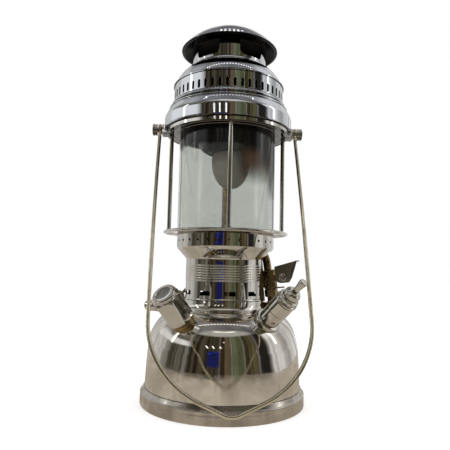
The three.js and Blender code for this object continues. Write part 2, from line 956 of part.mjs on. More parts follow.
function pumpCollar() {
  const bore = pumpRodRadius + runningGap;
  const chamfer = (pumpRingRadius - pumpThreadRadius) / 4;
  return revolved(points(
    [bore, pumpRingLow],
    [pumpRingRadius - chamfer, pumpRingLow],
    [pumpRingRadius, pumpRingLow + chamfer],
    [pumpRingRadius, pumpRingTop - chamfer],
    [pumpRingRadius - chamfer, pumpRingTop],
    [pumpThreadRadius, pumpRingTop],
    [pumpThreadRadius, pumpRingTop + pumpThreadHeight],
    [bore, pumpRingTop + pumpThreadHeight],
    [bore, pumpRingLow],
  ), mediumSides);
}

function pumpKnob() {
  const bore = rod(pumpRodRadius + seatGap, knobLow - overrun, knobLow + pumpKnobBoreDepth, fineSides);
  const flare = pumpKnobEndRadius - pumpKnobNeckRadius;
  return revolved(points(
    [0, knobLow],
    [pumpKnobNeckRadius, knobLow],
    [pumpKnobNeckRadius + flare / 3, knobLow + pumpKnobLength / 3],
    [pumpKnobEndRadius, knobEnd - flare],
    [pumpKnobEndRadius, knobEnd - flare / 2],
    [pumpKnobEndRadius - flare / 2, knobEnd],
    [0, knobEnd],
  ), smallSides).subtract(bore);
}

function pumpPiston() {
  const outer = pumpBore - runningGap;
  const bore = pumpRodRadius + seatGap;
  const top = pistonLow + pumpPistonHeight;
  return revolved(points(
    [bore, top],
    [outer, top],
    [outer, pistonLow],
    [outer - pumpPistonCup, pistonLow],
    [outer - pumpPistonCup, top - pumpPistonCup],
    [bore, top - pumpPistonCup],
    [bore, top],
  ), mediumSides);
}

function pumpRod() {
  const end = hexBar(pistonNutAcrossFlats, rodLow, rodLow + pistonNutHeight);
  return rod(pumpRodRadius, rodLow, rodEnd, fineSides).add(end);
}

function checkValve() {
  return revolved(points(
    [checkValveBore, -pumpBarrelInside],
    [pumpBore - seatGap, -pumpBarrelInside],
    [pumpBore - seatGap, checkValveTop],
    [checkValveBore, checkValveTop],
    [checkValveBore, -pumpBarrelInside],
  ), smallSides);
}

add('pump_socket', 'nickel', pumpSocket(), pumpGroup);
add('pump_barrel', 'nickel', pumpBarrel(), pumpGroup);
add('pump_collar', 'nickel', pumpCollar(), pumpGroup);
add('pump_gland_nut', 'nickel', hexNut(glandNutAcrossFlats, glandLow, glandTop, glandNutChamfer)
  .subtract(rod(
    pumpRodRadius + runningGap,
    glandLow - overrun,
    glandTop + overrun,
    smallSides,
  )), pumpGroup);
add('pump_rod', 'steel', pumpRod(), pumpGroup);
add('pump_knob', 'nickel', pumpKnob(), pumpGroup);
add('pump_piston', 'leather', pumpPiston(), pumpGroup);
add('pump_check_valve', 'brass', checkValve(), pumpGroup);

// Rapid preheater. In its frame +X is away from the front and +Y is towards the lantern's axis.
const preheaterGroup = groupAt(preheaterFrame);
const unionLow = preheaterSocketHeight + seatGap;
const unionTop = unionLow + preheaterUnionHeight;
const nutTop = preheaterNutStart + preheaterNutHeight;
const bodyLow = nutTop + seatGap;
const bodyTop = bodyLow + preheaterBodyHeight;
const tubeLow = bodyTop + seatGap;
const leverFace = -leverOffset;

function preheaterSocket() {
  const ring = rod(preheaterSocketRadius, -preheaterSocketDepth, preheaterSocketHeight, smallSides);
  const bore = rod(
    preheaterDipRadius + seatGap,
    -preheaterSocketDepth - overrun,
    preheaterSocketHeight + overrun,
    fineSides,
  );
  return seatedOnTank(ring, preheaterFrame).subtract(bore);
}

function preheaterStem() {
  return seatedOnTank(revolved(points(
    [preheaterDipRadius + seatGap, unionLow],
    [preheaterUnionRadius, unionLow],
    [preheaterUnionRadius, unionTop],
    [preheaterStemRadius, unionTop],
    [preheaterStemRadius, preheaterNutStart - seatGap],
    [preheaterDipRadius + seatGap, preheaterNutStart - seatGap],
    [preheaterDipRadius + seatGap, unionLow],
  ), mediumSides), preheaterFrame);
}

function preheaterBody() {
  const arm = shifted(
    box(bracketThickness, bracketReach, bracketWidth),
    -bracketThickness / 2, -bracketReach / 2, leverPinHeight,
  );
  const bore = rod(preheaterBodyBore, bodyLow - overrun, bodyTop + overrun, fineSides);
  const pinHole = leverShaft(leverPinRadius + seatGap, -leverOffset - overrun, leverOffset);
  const step = bodyLow + preheaterFlangeHeight;
  return rod(preheaterFlangeRadius, bodyLow, step, mediumSides)
    .add(rod(preheaterBodyRadius, step, bodyTop, mediumSides))
    .add(arm)
    .subtract(bore)
    .subtract(pinHole);
}

// A shaft through the lever's pin, along the preheater's X
function leverShaft(radius, low, high) {
  const frame = axisFrame(
    new THREE.Vector3(0, -leverPinReach, leverPinHeight),
    new THREE.Vector3(1, 0, 0),
    new THREE.Vector3(0, 0, 1),
  );
  return moved(rod(radius, low, high, smallSides), frame);
}

function leverPin() {
  const face = leverFace - leverThickness;
  const start = face - seatGap;
  return leverShaft(leverPinRadius, start - leverPinHeadHeight / 2, 0)
    .add(leverShaft(leverPinHeadRadius, start - leverPinHeadHeight, start));
}

function preheaterLever() {
  const shape = new THREE.Shape();
  shape.moveTo(-leverInner, -leverBottom + leverCorner);
  shape.lineTo(-leverCorner, -leverBottom);
  shape.lineTo(leverOuterBottom - leverCorner, -leverBottom);
  shape.lineTo(leverOuterBottom, -leverCorner);
  shape.lineTo(leverOuterTop, leverTopOuter);
  shape.lineTo(-leverInner, leverTopInner);
  shape.closePath();
  const plate = slab(shape, leverThickness);
  const edge = new THREE.Vector2(leverOuterTop - leverOuterBottom, leverTopOuter + leverCorner);
  const length = edge.length() - leverCorner;
  const flange = shifted(
    moved(
      box(leverThickness, length, leverFlange + leverThickness),
      new THREE.Matrix4().makeRotationZ(-Math.atan2(edge.x, edge.y)),
    ),
    leverOuterBottom + edge.x / 2 - leverThickness / 2,
    -leverCorner + edge.y / 2,
    leverFlange / 2 + leverThickness / 2,
  );
  const lip = shifted(
    box(leverLip * 2, leverThickness, leverLip),
    leverOuterTop, leverTopOuter - leverThickness / 2, leverLip / 2,
  );
  // The plate is drawn in outward and upward steps from its pin, then stood in place
  const standing = new THREE.Matrix4().makeBasis(
    new THREE.Vector3(0, -1, 0),
    new THREE.Vector3(0, 0, 1),
    new THREE.Vector3(-1, 0, 0),
  );
  standing.setPosition(leverFace, -leverPinReach, leverPinHeight);
  const hole = leverShaft(leverPinRadius + seatGap, leverFace - overrun * 2, leverFace + overrun);
  return moved(plate.add(flange).add(lip), standing).subtract(hole);
}

function preheaterTube() {
  const curve = new THREE.CubicBezierCurve3(
    new THREE.Vector3(0, 0, tubeLow),
    new THREE.Vector3(0, 0, tubeLow + preheaterTubeRise),
    new THREE.Vector3(0, 0, tubeLow + preheaterTubeEndRise - preheaterTubeRadius),
    new THREE.Vector3(0, preheaterTubeEndReach, tubeLow + preheaterTubeEndRise),
  );
  const hole = moved(
    rod(preheaterAirHole, 0, preheaterTubeRadius + overrun, fineSides),
    axisFrame(
      new THREE.Vector3(0, 0, tubeLow + preheaterAirHoleHeight),
      new THREE.Vector3(-1, 0, 0),
      new THREE.Vector3(0, 0, 1),
    ),
  );
  return swept(curve, preheaterTubeRadius, pipeFacets, roundSteps, preheaterTubeBore).subtract(hole);
}

add('preheater_socket', 'brass', preheaterSocket(), preheaterGroup);
add('preheater_stem', 'brass', preheaterStem(), preheaterGroup);
add('preheater_nut', 'brass', hexNut(preheaterNutAcrossFlats, preheaterNutStart, nutTop, leverThickness)
  .subtract(rod(
    preheaterDipRadius + seatGap,
    preheaterNutStart - overrun,
    nutTop + overrun,
    fineSides,
  )), preheaterGroup);
add('preheater_body', 'brass', preheaterBody(), preheaterGroup);
add('preheater_tube', 'brass', preheaterTube(), preheaterGroup);
add('preheater_lever', 'steel', preheaterLever(), preheaterGroup);
add('preheater_lever_pin', 'brass', leverPin(), preheaterGroup);
add('preheater_valve_stem', 'steel', rod(
  preheaterValveRadius,
  nutTop + preheaterFlangeHeight,
  bodyTop - valveTravel,
  fineSides,
), preheaterGroup);
add('preheater_dip_tube', 'brass', tube(
  preheaterDipRadius,
  preheaterDipRadius / 2,
  -preheaterDipLength,
  nutTop - seatGap * 2,
  fineSides,
), preheaterGroup);

// Collar
function ringOf(count, start, place) {
  return Array.from({ length: count }, (_, i) => place(start + (fullTurn * i) / count));
}

// A cutter that runs outward along a radius at a height
function radialCutter(body, azimuth, height) {
  const frame = fittingFrame(new THREE.Vector3(0, 0, height), azimuth, 0);
  return moved(body, frame);
}

const collarTop = plateHeight - seatGap;
const collarBottom = neckHeight + seatGap;

function collarProfile(inset) {
  const outline = [
    [collarBeadRadius - inset, collarBottom],
    [collarBeadRadius - inset, collarBottom + collarBeadHeight / 2],
    [collarRadius - inset, collarBottom + collarBeadHeight],
  ];
  if (inset === 0) {
    for (let i = 0; i < collarRibs; i += 1) {
      const low = collarRibStart + i * collarRibPitch;
      outline.push([collarRadius, low]);
      outline.push([collarRadius + collarRibRise, low + collarRibPitch / 2]);
    }
    outline.push([collarRadius, collarRibStart + collarRibs * collarRibPitch]);
  }
  outline.push([collarRadius - inset, collarWaist]);
  outline.push([collarRadius + collarBandFillet - inset, collarWaist + collarBandFillet]);
  outline.push([collarBandRadius - collarBandFillet - inset, collarConeTop - collarBandFillet]);
  outline.push([collarBandRadius - inset, collarConeTop + collarBandFillet]);
  outline.push([collarBandRadius - inset, collarTop]);
  return points(...outline);
}

function collar() {
  const outside = collarProfile(0);
  const inside = collarProfile(collarWall).reverse();
  const wall = revolved([...outside, ...inside, outside[0]], bigSides);
  const reach = collarBandRadius + overrun;
  const holeTool = rod(collarHoleRadius, collarRadius, reach, holeSides);
  const holes = ringOf(collarHoleCount, collarHoleTurn, (a) => radialCutter(holeTool, a, collarHoleHeight));
  const slotTool = shifted(
    box(collarSlotWidth, collarSlotHeight, reach),
    0, 0, reach / 2,
  );
  const slots = ringOf(collarSlotCount, collarSlotTurn, (a) => radialCutter(slotTool, a, collarSlotMiddle));
  const doorHeight = collarDoorTop - collarBottom + overrun;
  const door = radialCutter(
    shifted(box(collarDoorWidth, doorHeight, reach), 0, 0, reach / 2),
    preheaterAzimuth,
    collarDoorTop - doorHeight / 2,
  );
  const shaftHole = radialCutter(
    rod(collarShaftHole, collarBandRadius / 2, reach, smallSides),
    spindleExitAzimuth,
    spindleExitHeight,
  );
  return wasm.Manifold.difference([wall, ...holes, ...slots, door, shaftHole]);
}

add('collar', 'nickel', collar());

// Glass plate, glass, cage rods and top ring
const plateTop = plateHeight + plateThickness;
const ringTop = ringHeight + ringThickness;
const rollInner = plateRadius - plateRollWidth;

function glassPlate() {
  return revolved(points(
    [plateHoleRadius, plateHeight],
    [rollInner, plateHeight],
    [rollInner, plateHeight - plateRollDrop],
    [plateRadius - plateRollRise, plateHeight - plateRollDrop],
    [plateRadius, plateHeight],
    [plateRadius, plateTop],
    [plateRadius - plateRollRise, plateTop + plateRollRise],
    [rollInner, plateTop],
    [plateHoleRadius, plateTop],
    [plateHoleRadius, plateHeight],
  ), bigSides);
}

function ear(side) {
  const width = earWidth / 2;
  const shape = new THREE.Shape();
  shape.moveTo(-width, ringHeight);
  shape.lineTo(width, ringHeight);
  shape.lineTo(width, pivotHeight);
  shape.absarc(0, pivotHeight, width, 0, Math.PI, false);
  shape.closePath();
  // The plate is drawn in Y and Z and stands square to X
  const standing = new THREE.Matrix4().makeBasis(
    new THREE.Vector3(0, 1, 0),
    new THREE.Vector3(0, 0, 1),
    new THREE.Vector3(1, 0, 0),
  );
  const start = side > 0 ? earInner : -earInner - earThickness;
  const plate = shifted(moved(slab(shape, earThickness), standing), start, 0, 0);
  const reach = earInner + earThickness - rodCircle;
  const foot = shifted(
    box(reach, earWidth, ringStep),
    side * (rodCircle + reach / 2), 0, ringHeight + ringStep / 2,
  );
  return plate.add(foot);
}

function cageTopRing() {
  const glassClear = glassRadius + seatGap;
  const ring = revolved(points(
    [glassClear, ringHeight],
    [ringRadius, ringHeight],
    [ringRadius, ringTop - plateRollRise],
    [ringRadius - plateRollRise, ringTop],
    [ringLipRadius, ringTop],
    [ringLipRadius, ringHeight + ringStep],
    [glassClear, ringHeight + ringStep],
    [glassClear, ringHeight],
  ), bigSides);
  const axle = moved(
    rod(studShankRadius + seatGap, -studKnobEnd, studKnobEnd, smallSides),
    new THREE.Matrix4().makeRotationY(rad(90)),
  );
  return ring.add(ear(1)).add(ear(-1)).subtract(shifted(axle, 0, 0, pivotHeight));
}

function bailStud(side) {
  const nose = studNoseRadius;
  const first = studKnobStart + (studKnobEnd - studKnobStart) / 3;
  const frame = axisFrame(
    new THREE.Vector3(0, 0, pivotHeight),
    new THREE.Vector3(side, 0, 0),
    new THREE.Vector3(0, 0, 1),
  );
  return moved(revolved(points(
    [0, earInner + seatGap],
    [studShankRadius, earInner + seatGap],
    [studShankRadius, studKnobStart],
    [studKnobRadius, studKnobStart],
    [studKnobRadius, first],
    [studKnobRadius - studGroove, first + studGroove / 2],
    [studKnobRadius, first + studGroove],
    [studKnobRadius, studKnobEnd - studGroove * 2],
    [nose, studKnobEnd],
    [0, studKnobEnd],
  ), smallSides), frame);
}

add('glass_plate', 'nickel', glassPlate());
add('glass_cylinder', 'glass', tube(
  glassRadius,
  glassRadius - glassWall,
  plateTop + seatGap,
  ringHeight + ringStep - seatGap,
  bigSides,
));
add('cage_top_ring', 'nickel', cageTopRing());
for (let i = 0; i < rodCount; i += 1) {
  const place = onCircle(rodCircle, (fullTurn * i) / rodCount);
  const bar = rod(rodRadius, plateTop + seatGap, ringHeight - seatGap, fineSides);
  add(`cage_rod_${i + 1}`, 'nickel', shifted(bar, place.x, place.y, 0));
}
add('bail_stud_left', 'nickel', bailStud(-1));
add('bail_stud_right', 'nickel', bailStud(1));

// Bail: a wire with an eye at each end, drawn in its own tilted plane
function bailHalf() {
  const turn = rad(bailCornerTurn);
  const cornerX = bailCornerWidth - bailCornerRadius * (1 - Math.cos(turn));
  const cornerS = bailCornerStart + bailCornerRadius * Math.sin(turn);
  const half = [new THREE.Vector2(bailEyeMiddle, bailEyeRadius / 2)];
  half.push(new THREE.Vector2(bailMiddleWidth, bailCornerStart / 2));
  for (let i = 0; i <= roundSteps; i += 1) {
    const a = (turn * i) / roundSteps;
    half.push(new THREE.Vector2(
      bailCornerWidth - bailCornerRadius * (1 - Math.cos(a)),
      bailCornerStart + bailCornerRadius * Math.sin(a),
    ));
  }
  const slope = (bailDrop - cornerS) / cornerX;
  half.push(new THREE.Vector2(bailTipFillet, bailDrop - slope * bailTipFillet));
  return half;
}

const bailEyeMiddle = (earInner + earThickness + studKnobStart) / 2;
const bailEyeRadius = studShankRadius + bailEyeGap + bailWire;

function bailHandle() {
  const half = bailHalf();
  const lean = (p, side) => new THREE.Vector3(
    side * p.x + (bailLean * p.y) / bailDrop,
    -Math.sin(rad(bailTilt)) * p.y,
    pivotHeight - Math.cos(rad(bailTilt)) * p.y,
  );
  const tip = new THREE.Vector2(0, bailDrop - bailTipFillet / 3);
  const path = [
    ...half.map((p) => lean(p, -1)),
    lean(tip, 1),
    ...[...half].reverse().map((p) => lean(p, 1)),
  ];
  const curve = new THREE.CatmullRomCurve3(path, false, 'centripetal');
  const wire = swept(curve, bailWire, wireFacets, bailSteps);
  const eye = solid(new THREE.TorusGeometry(bailEyeRadius, bailWire, roundSteps, smallSides));
  const standing = moved(eye, new THREE.Matrix4().makeRotationY(rad(90)));
  const bore = moved(
    rod(studShankRadius + bailEyeGap, -studKnobEnd, studKnobEnd, smallSides),
    new THREE.Matrix4().makeRotationY(rad(90)),
  );
  return wire
    .add(shifted(standing, bailEyeMiddle, 0, pivotHeight))
    .add(shifted(standing, -bailEyeMiddle, 0, pivotHeight))
    .subtract(shifted(bore, 0, 0, pivotHeight));
}

add('bail_handle', 'steel', bailHandle());

// Hood
const skirtEnd = hoodSkirtTop - seatGap;
const bandLow = hoodSkirtTop;
const crownLow = hoodBandTop + seatGap;
const neckLow = crownTop + seatGap;

function bead(radius, height) {
  return [
    [radius, height - hoodBeadHeight / 2],
    [radius + hoodBeadRise, height],
    [radius, height + hoodBeadHeight / 2],
  ];
}

function hoodSkirt() {
  const slope = (hoodRimRadius - hoodBandRadius) / (skirtEnd - hoodSkirtShoulder);
  const radiusAt = (height) => hoodRimRadius - slope * (height - hoodSkirtShoulder);
  const upper = skirtEnd - hoodBeadHeight;
  const lower = upper - hoodBeadGap;
  return revolved(points(
    [hoodRimInner, hoodRimLow],
    [hoodRimRadius - hoodWall / 2, hoodRimLow],
    [hoodRimRadius, hoodRimLow + hoodWall],
    [hoodRimRadius, hoodSkirtShoulder],
    ...bead(radiusAt(lower), lower),
    ...bead(radiusAt(upper), upper),
    [hoodBandRadius, skirtEnd],
    [hoodBandRadius - hoodWall, skirtEnd],
    [hoodRimRadius - hoodWall * 2, hoodSkirtShoulder],
    [hoodRimRadius - hoodWall, hoodRimLow + hoodRimHeight],
    [hoodRimInner, hoodRimLow + hoodRimHeight / 2],
    [hoodRimInner, hoodRimLow],
  ), bigSides);
}

function ventSlot() {
  const reach = hoodBandRadius + overrun;
  return shifted(box(ventSlotWidth, ventSlotHeight, reach), 0, 0, reach / 2);
}

function ventBand() {
  const wall = tube(hoodBandRadius, hoodBandRadius - hoodWall, bandLow, hoodBandTop, ventSides);
  const band = turned(wall, ventSlotTurn);
  const tool = ventSlot();
  const slots = ringOf(ventSlotCount, ventSlotTurn, (a) => radialCutter(tool, a, ventSlotMiddle));
  return wasm.Manifold.difference([band, ...slots]);
}

function hoodCrown() {
  const outside = new THREE.Path();
  outside.moveTo(hoodBandRadius + hoodBeadRise, crownLow);
  outside.lineTo(hoodBandRadius - hoodBeadRise, crownLow + hoodBeadHeight);
  outside.quadraticCurveTo(
    hoodBandRadius * crownBulge + crownTopRadius * (1 - crownBulge),
    crownLow + (crownTop - crownLow) * crownBulge,
    crownTopRadius,
    crownTop,
  );
  const outer = outside.getPoints(domeSteps);
  const inner = outer.map((p) => new THREE.Vector2(p.x - hoodWall, p.y - hoodWall / 2)).reverse();
  inner[0].y = crownTop;
  inner[inner.length - 1].y = crownLow;
  inner[inner.length - 1].x = hoodBandRadius - hoodWall;
  return revolved([...outer, ...inner, outer[0]], bigSides);
}

function chimneyNeck() {
  const wall = revolved(points(
    [chimneyRadius - hoodWall, neckLow],
    [crownTopRadius, neckLow],
    [chimneyRadius, neckLow + hoodBeadHeight],
    [chimneyRadius, chimneyTop],
    [chimneyRadius - hoodWall, chimneyTop],
    [chimneyRadius - hoodWall, neckLow],
  ), bigSides);
  const half = (width) => chimneyRadius * Math.sin(Math.PI / chimneyPosts) - width / 2;
  const shape = new THREE.Shape();
  shape.moveTo(-half(postBottomWidth), windowBottom);
  shape.lineTo(half(postBottomWidth), windowBottom);
  shape.lineTo(half(postTopWidth), windowBottom + postFlareHeight);
  shape.lineTo(half(postTopWidth), windowTop);
  shape.lineTo(-half(postTopWidth), windowTop);
  shape.lineTo(-half(postTopWidth), windowBottom + postFlareHeight);
  shape.closePath();
  const tool = slab(shape, chimneyRadius + overrun);
  const windows = ringOf(chimneyPosts, hoodTurn + 180 / chimneyPosts, (a) => radialCutter(tool, a, 0));
  return wasm.Manifold.difference([wall, ...windows]);
}

// The cap is a shallow dome whose crown lies on one sphere, with a folded rim
function chimneyCap() {
  const sphere = (capRadius * capRadius + capRise * capRise) / (2 * capRise);
  const centre = capRimHeight + capRise - sphere;
  const full = Math.asin(capRadius / sphere);
  const arc = (radius, start) => Array.from({ length: domeSteps + 1 }, (_, i) => {
    const a = start * (1 - i / domeSteps);
    return new THREE.Vector2(radius * Math.sin(a), centre + radius * Math.cos(a));
  });
  const outside = arc(sphere, full).filter((p) => p.x > capBossRadius);
  const inside = arc(sphere - hoodWall, full).reverse();
  inside[0].x = 0;
  const bossEdge = centre + Math.sqrt(sphere * sphere - capBossRadius * capBossRadius);
  outside.push(...points(
    [capBossRadius, bossEdge],
    [capBossRadius - capBossRise, bossEdge + capBossRise],
    [capBossRadius / 2, capRimHeight + capRise + capBossRise / 2],
    [0, capRimHeight + capRise + capBossRise],
  ));
  return revolved([
    ...inside,
    ...points(
      [capRadius - capBead * 2, capRimHeight - capBead],
      [capRadius - capBead / 2, capRimHeight - capBead],
      [capRadius + capBead / 3, capRimHeight - capBead / 2],
    ),
    ...outside,
  ], bigSides);
}

add('hood_skirt', 'chrome', hoodSkirt());
add('hood_vent_band', 'chrome', ventBand());
add('hood_crown', 'chrome', hoodCrown());
add('chimney_neck', 'chrome', chimneyNeck());
add('chimney_cap', 'chrome', chimneyCap());

// Inner casing and burner
const throatTop = crownTop - hoodWall;

function innerCasing() {
  const wall = hoodWall;
  return revolved(points(
    [casingRadius, casingBottom],
    [casingRollRadius, casingBottom],
    [casingRollRadius, casingBottom + wall],
    [casingRadius, casingBottom + wall * 2],
    [casingRadius, casingCylinderTop],
    [casingThroatRadius, casingThroatHeight],
    [casingThroatRadius, throatTop - wall],
    [casingThroatRadius + casingFlangeWidth, throatTop - wall],
    [casingThroatRadius + casingFlangeWidth, throatTop],
    [casingThroatRadius - wall, throatTop],
    [casingThroatRadius - wall, casingThroatHeight - wall / 2],
    [casingRadius - wall, casingCylinderTop - wall / 2],
    [casingRadius - wall, casingBottom],
    [casingRadius, casingBottom],
  ), bigSides);
}

function mixingTube() {
  const drop = new THREE.Vector3(vaporizerPlace.x, vaporizerPlace.y, 0);
  const arch = [new THREE.Vector3(drop.x, drop.y, mixingTubeMouth)];
  const bend = vaporizerOffset / 2;
  for (let i = 0; i <= roundSteps; i += 1) {
    const a = (Math.PI * i) / roundSteps;
    const share = (1 + Math.cos(a)) / 2;
    arch.push(new THREE.Vector3(drop.x * share, drop.y * share, mixingTubeTop + bend * Math.sin(a)));
  }
  arch.push(new THREE.Vector3(0, 0, chamberNeckTop + seatGap));
  const curve = new THREE.CatmullRomCurve3(arch, false, 'centripetal');
  return swept(curve, mixingTubeRadius, pipeFacets, roundSteps * 2, mixingTubeRadius - mixingTubeWall);
}

function gasChamber() {
  const wall = chamberWall;
  const floor = chamberBottom + wall;
  const body = revolved(points(
    [nozzleRadius + seatGap, chamberBottom],
    [chamberFloorRadius, chamberBottom],
    [chamberBowlRadius, chamberBottom + chamberBowlRise],
    [chamberRadius, chamberBottom + chamberBowlHeight],
    [chamberRadius, chamberTop],
    [chamberRadius - wall, chamberTop],
    [chamberRadius - wall, chamberBottom + chamberBowlHeight + wall / 3],
    [chamberBowlRadius - wall, chamberBottom + chamberBowlRise + wall],
    [chamberBodyRadius, floor],
    [chamberBodyRadius, chamberTop],
    [chamberNeckRadius, chamberTop + wall * 2],
    [chamberNeckRadius, chamberNeckTop],
    [mixingTubeRadius - wall, chamberNeckTop],
    [mixingTubeRadius - wall, chamberTop],
    [chamberBodyRadius - wall, chamberTop - wall],
    [chamberBodyRadius - wall, floor],
    [nozzleRadius + seatGap, floor],
    [nozzleRadius + seatGap, chamberBottom],
  ), mediumSides);
  const pass = rod(
    vaporizerTubeRadius + seatGap * 2,
    chamberBottom - overrun,
    chamberBottom + chamberBowlHeight + overrun,
    smallSides,
  );
  return body.subtract(shifted(pass, vaporizerPlace.x, vaporizerPlace.y, 0));
}

function ceramicNozzle() {
  const low = chamberBottom - nozzleLength;
  const seat = chamberBottom + chamberWall + seatGap;
  return revolved(points(
    [nozzleBore, low],
    [nozzleRadius - nozzleLip, low],
    [nozzleRadius, low + nozzleLip],
    [nozzleRadius, low + nozzleLip * 2],
    [nozzleRadius - nozzleLip, low + nozzleLip * 3],
    [nozzleRadius, low + nozzleLip * 4],
    [nozzleRadius, seat],
    [nozzleFlangeRadius, seat],
    [nozzleFlangeRadius, seat + nozzleFlangeHeight],
    [nozzleBore, seat + nozzleFlangeHeight],
    [nozzleBore, low],
  ), mediumSides);
}

function burnerBracket() {
  const flat = (casingRadius - hoodWall) * Math.cos(Math.PI / bigSides);
  const length = (flat - seatGap) * 2;
  const bar = shifted(box(length, bracketBarWidth, bracketBarThickness), 0, 0, bracketBarHeight);
  const ring = tube(
    mixingTubeRadius + bracketRingWidth,
    mixingTubeRadius + runningGap,
    bracketBarHeight - bracketBarThickness / 2,
    bracketBarHeight + bracketBarThickness / 2,
    mediumSides,
  );
  const hole = rod(
    mixingTubeRadius + runningGap,
    bracketBarHeight - overrun,
    bracketBarHeight + overrun,
    mediumSides,
  );
  return bar.add(ring).subtract(hole);
}

// The mantle hangs a little to the side of the nozzle that it is tied round
function mantle() {
  const top = chamberBottom - seatGap;
  const low = top - mantleLength;
  const profile = [new THREE.Vector2(0, low)];
  mantleRiseShares.forEach((share, i) => {
    profile.push(new THREE.Vector2(mantleRadius * mantleWidthShares[i], low + mantleLength * share));
  });
  profile.push(new THREE.Vector2(mantleTopRadius, top));
  profile.push(new THREE.Vector2(0, top));
  const sock = shifted(revolved(profile, mediumSides), mantleSideLean, -mantleFrontLean, 0);
  const nozzleLow = chamberBottom - nozzleLength - seatGap;
  return sock.subtract(rod(nozzleRadius + seatGap, nozzleLow, top + overrun, mediumSides));
}

add('inner_casing', 'darkSteel', innerCasing());
add('burner_bracket', 'darkSteel', burnerBracket());
add('mixing_tube', 'darkSteel', mixingTube());
add('gas_chamber', 'darkSteel', gasChamber());
add('ceramic_nozzle', 'ceramic', ceramicNozzle());
add('mantle', 'mantle', mantle());

// Vaporizer column, which stands on the tank beside the mantle
const columnGroup = new THREE.Group();
columnGroup.position.copy(vaporizerPlace);
lantern.add(columnGroup);
const bushTop = deckHeight + seatGap + bushFlangeHeight;
const bushBottom = deckHeight - bushDepth;
const columnLow = bushTop + seatGap;
const footBlockTop = cupHeight - seatGap;
const cupInnerRadius = vaporizerTubeRadius + seatGap;

function tankBush() {
  return revolved(points(
    [bushBore, bushBottom],
    [bushRadius, bushBottom],
    [bushRadius, deckHeight + seatGap],
    [bushFlangeRadius, deckHeight + seatGap],
    [bushFlangeRadius, bushTop],
    [bushBore, bushTop],
    [bushBore, bushBottom],
  ), mediumSides);
}

// The control spindle runs from the foot block out through the collar and down
const spindleExit = onCircle(collarRadius, spindleExitAzimuth, spindleExitHeight);
const spindleRun = new THREE.Vector3().subVectors(spindleExit, vaporizerPlace).setZ(0);
const spindleStart = new THREE.Vector3(
  vaporizerPlace.x,
  vaporizerPlace.y,
  spindleExitHeight + spindleRun.length() * Math.tan(rad(spindleTilt)),
);
const spindleAxis = new THREE.Vector3().subVectors(spindleExit, spindleStart).normalize();
const spindleFrame = axisFrame(spindleStart, spindleAxis, new THREE.Vector3(0, 0, 1));
const spindleToExit = new THREE.Vector3().subVectors(spindleExit, spindleStart).length();
const knobFace = spindleToExit + spindleReach;
const needleLow = spindleStart.z
  + spindleRadius / Math.cos(rad(spindleTilt))
  + needleRadius * Math.tan(rad(spindleTilt))
  + seatGap;
const glandCorner = spindleGlandAcrossFlats / Math.sqrt(3);
const spindleSeat = (footBlockRadius + seatGap * 2) / Math.cos(rad(spindleTilt))
  + glandCorner * Math.tan(rad(spindleTilt));

function footBlock() {
  const block = revolved(points(
    [vaporizerBore, columnLow],
    [footBlockNeckRadius, columnLow],
    [footBlockNeckRadius, footBlockBodyBottom - footBlockNeckRadius],
    [footBlockRadius, footBlockBodyBottom],
    [footBlockRadius, footBlockTop],
    [vaporizerBore, footBlockTop],
    [vaporizerBore, columnLow],
  ), mediumSides);
  const cut = rod(
    spindleRadius + runningGap,
    spindleInset - runningGap,
    spindleToExit,
    fineSides,
  );
  const bore = shifted(moved(cut, spindleFrame), -vaporizerPlace.x, -vaporizerPlace.y, 0);
  return block.subtract(bore);
}

function spiritCup() {
  const top = cupHeight + cupDepth;
  return revolved(points(
    [cupInnerRadius, cupHeight],
    [cupOuterRadius - cupWall * 2, cupHeight],
    [cupOuterRadius, cupHeight + cupWall * 2],
    [cupOuterRadius, top],
    [cupOuterRadius - cupWall, top],
    [cupOuterRadius - cupWall, cupHeight + cupWall * 3],
    [cupInnerRadius + cupWall, cupHeight + cupWall],
    [cupInnerRadius + cupWall, top],
    [cupInnerRadius, top],
    [cupInnerRadius, cupHeight],
  ), mediumSides);
}

function jetNipple() {
  const low = vaporizerTop + seatGap;
  return revolved(points(
    [nippleBore, low],
    [nippleRadius, low],
    [nippleRadius, low + nippleCollarHeight],
    [nippleRadius / 2, nippleTip],
    [nippleBore, nippleTip],
    [nippleBore, low],
  ), fineSides).add(hexBar(nippleAcrossFlats, low, low + nippleCollarHeight)
    .subtract(rod(nippleRadius / 2, low - overrun, nippleTip, fineSides)));
}

add('tank_bush', 'brass', tankBush(), columnGroup);
add('fuel_riser', 'brass', tube(
  riserRadius,
  riserBore,
  baseRecess + tankWall + riserClearance,
  bushTop - seatGap,
  fineSides,
), columnGroup);
add('vaporizer_foot', 'brass', footBlock(), columnGroup);
add('vaporizer_tube', 'brass', tube(
  vaporizerTubeRadius,
  vaporizerBore,
  footBlockTop + seatGap,
  vaporizerTop,
  smallSides,
), columnGroup);
add('spirit_cup', 'brass', spiritCup(), columnGroup);
add('jet_nipple', 'brass', jetNipple(), columnGroup);
add('needle_rod', 'steel', rod(
  needleRadius,
  needleLow,
  vaporizerTop - needleTravel - seatGap,
  fineSides,
), columnGroup);

// Control spindle, gland nut and knurled knob
const spindleGroup = groupAt(spindleFrame);

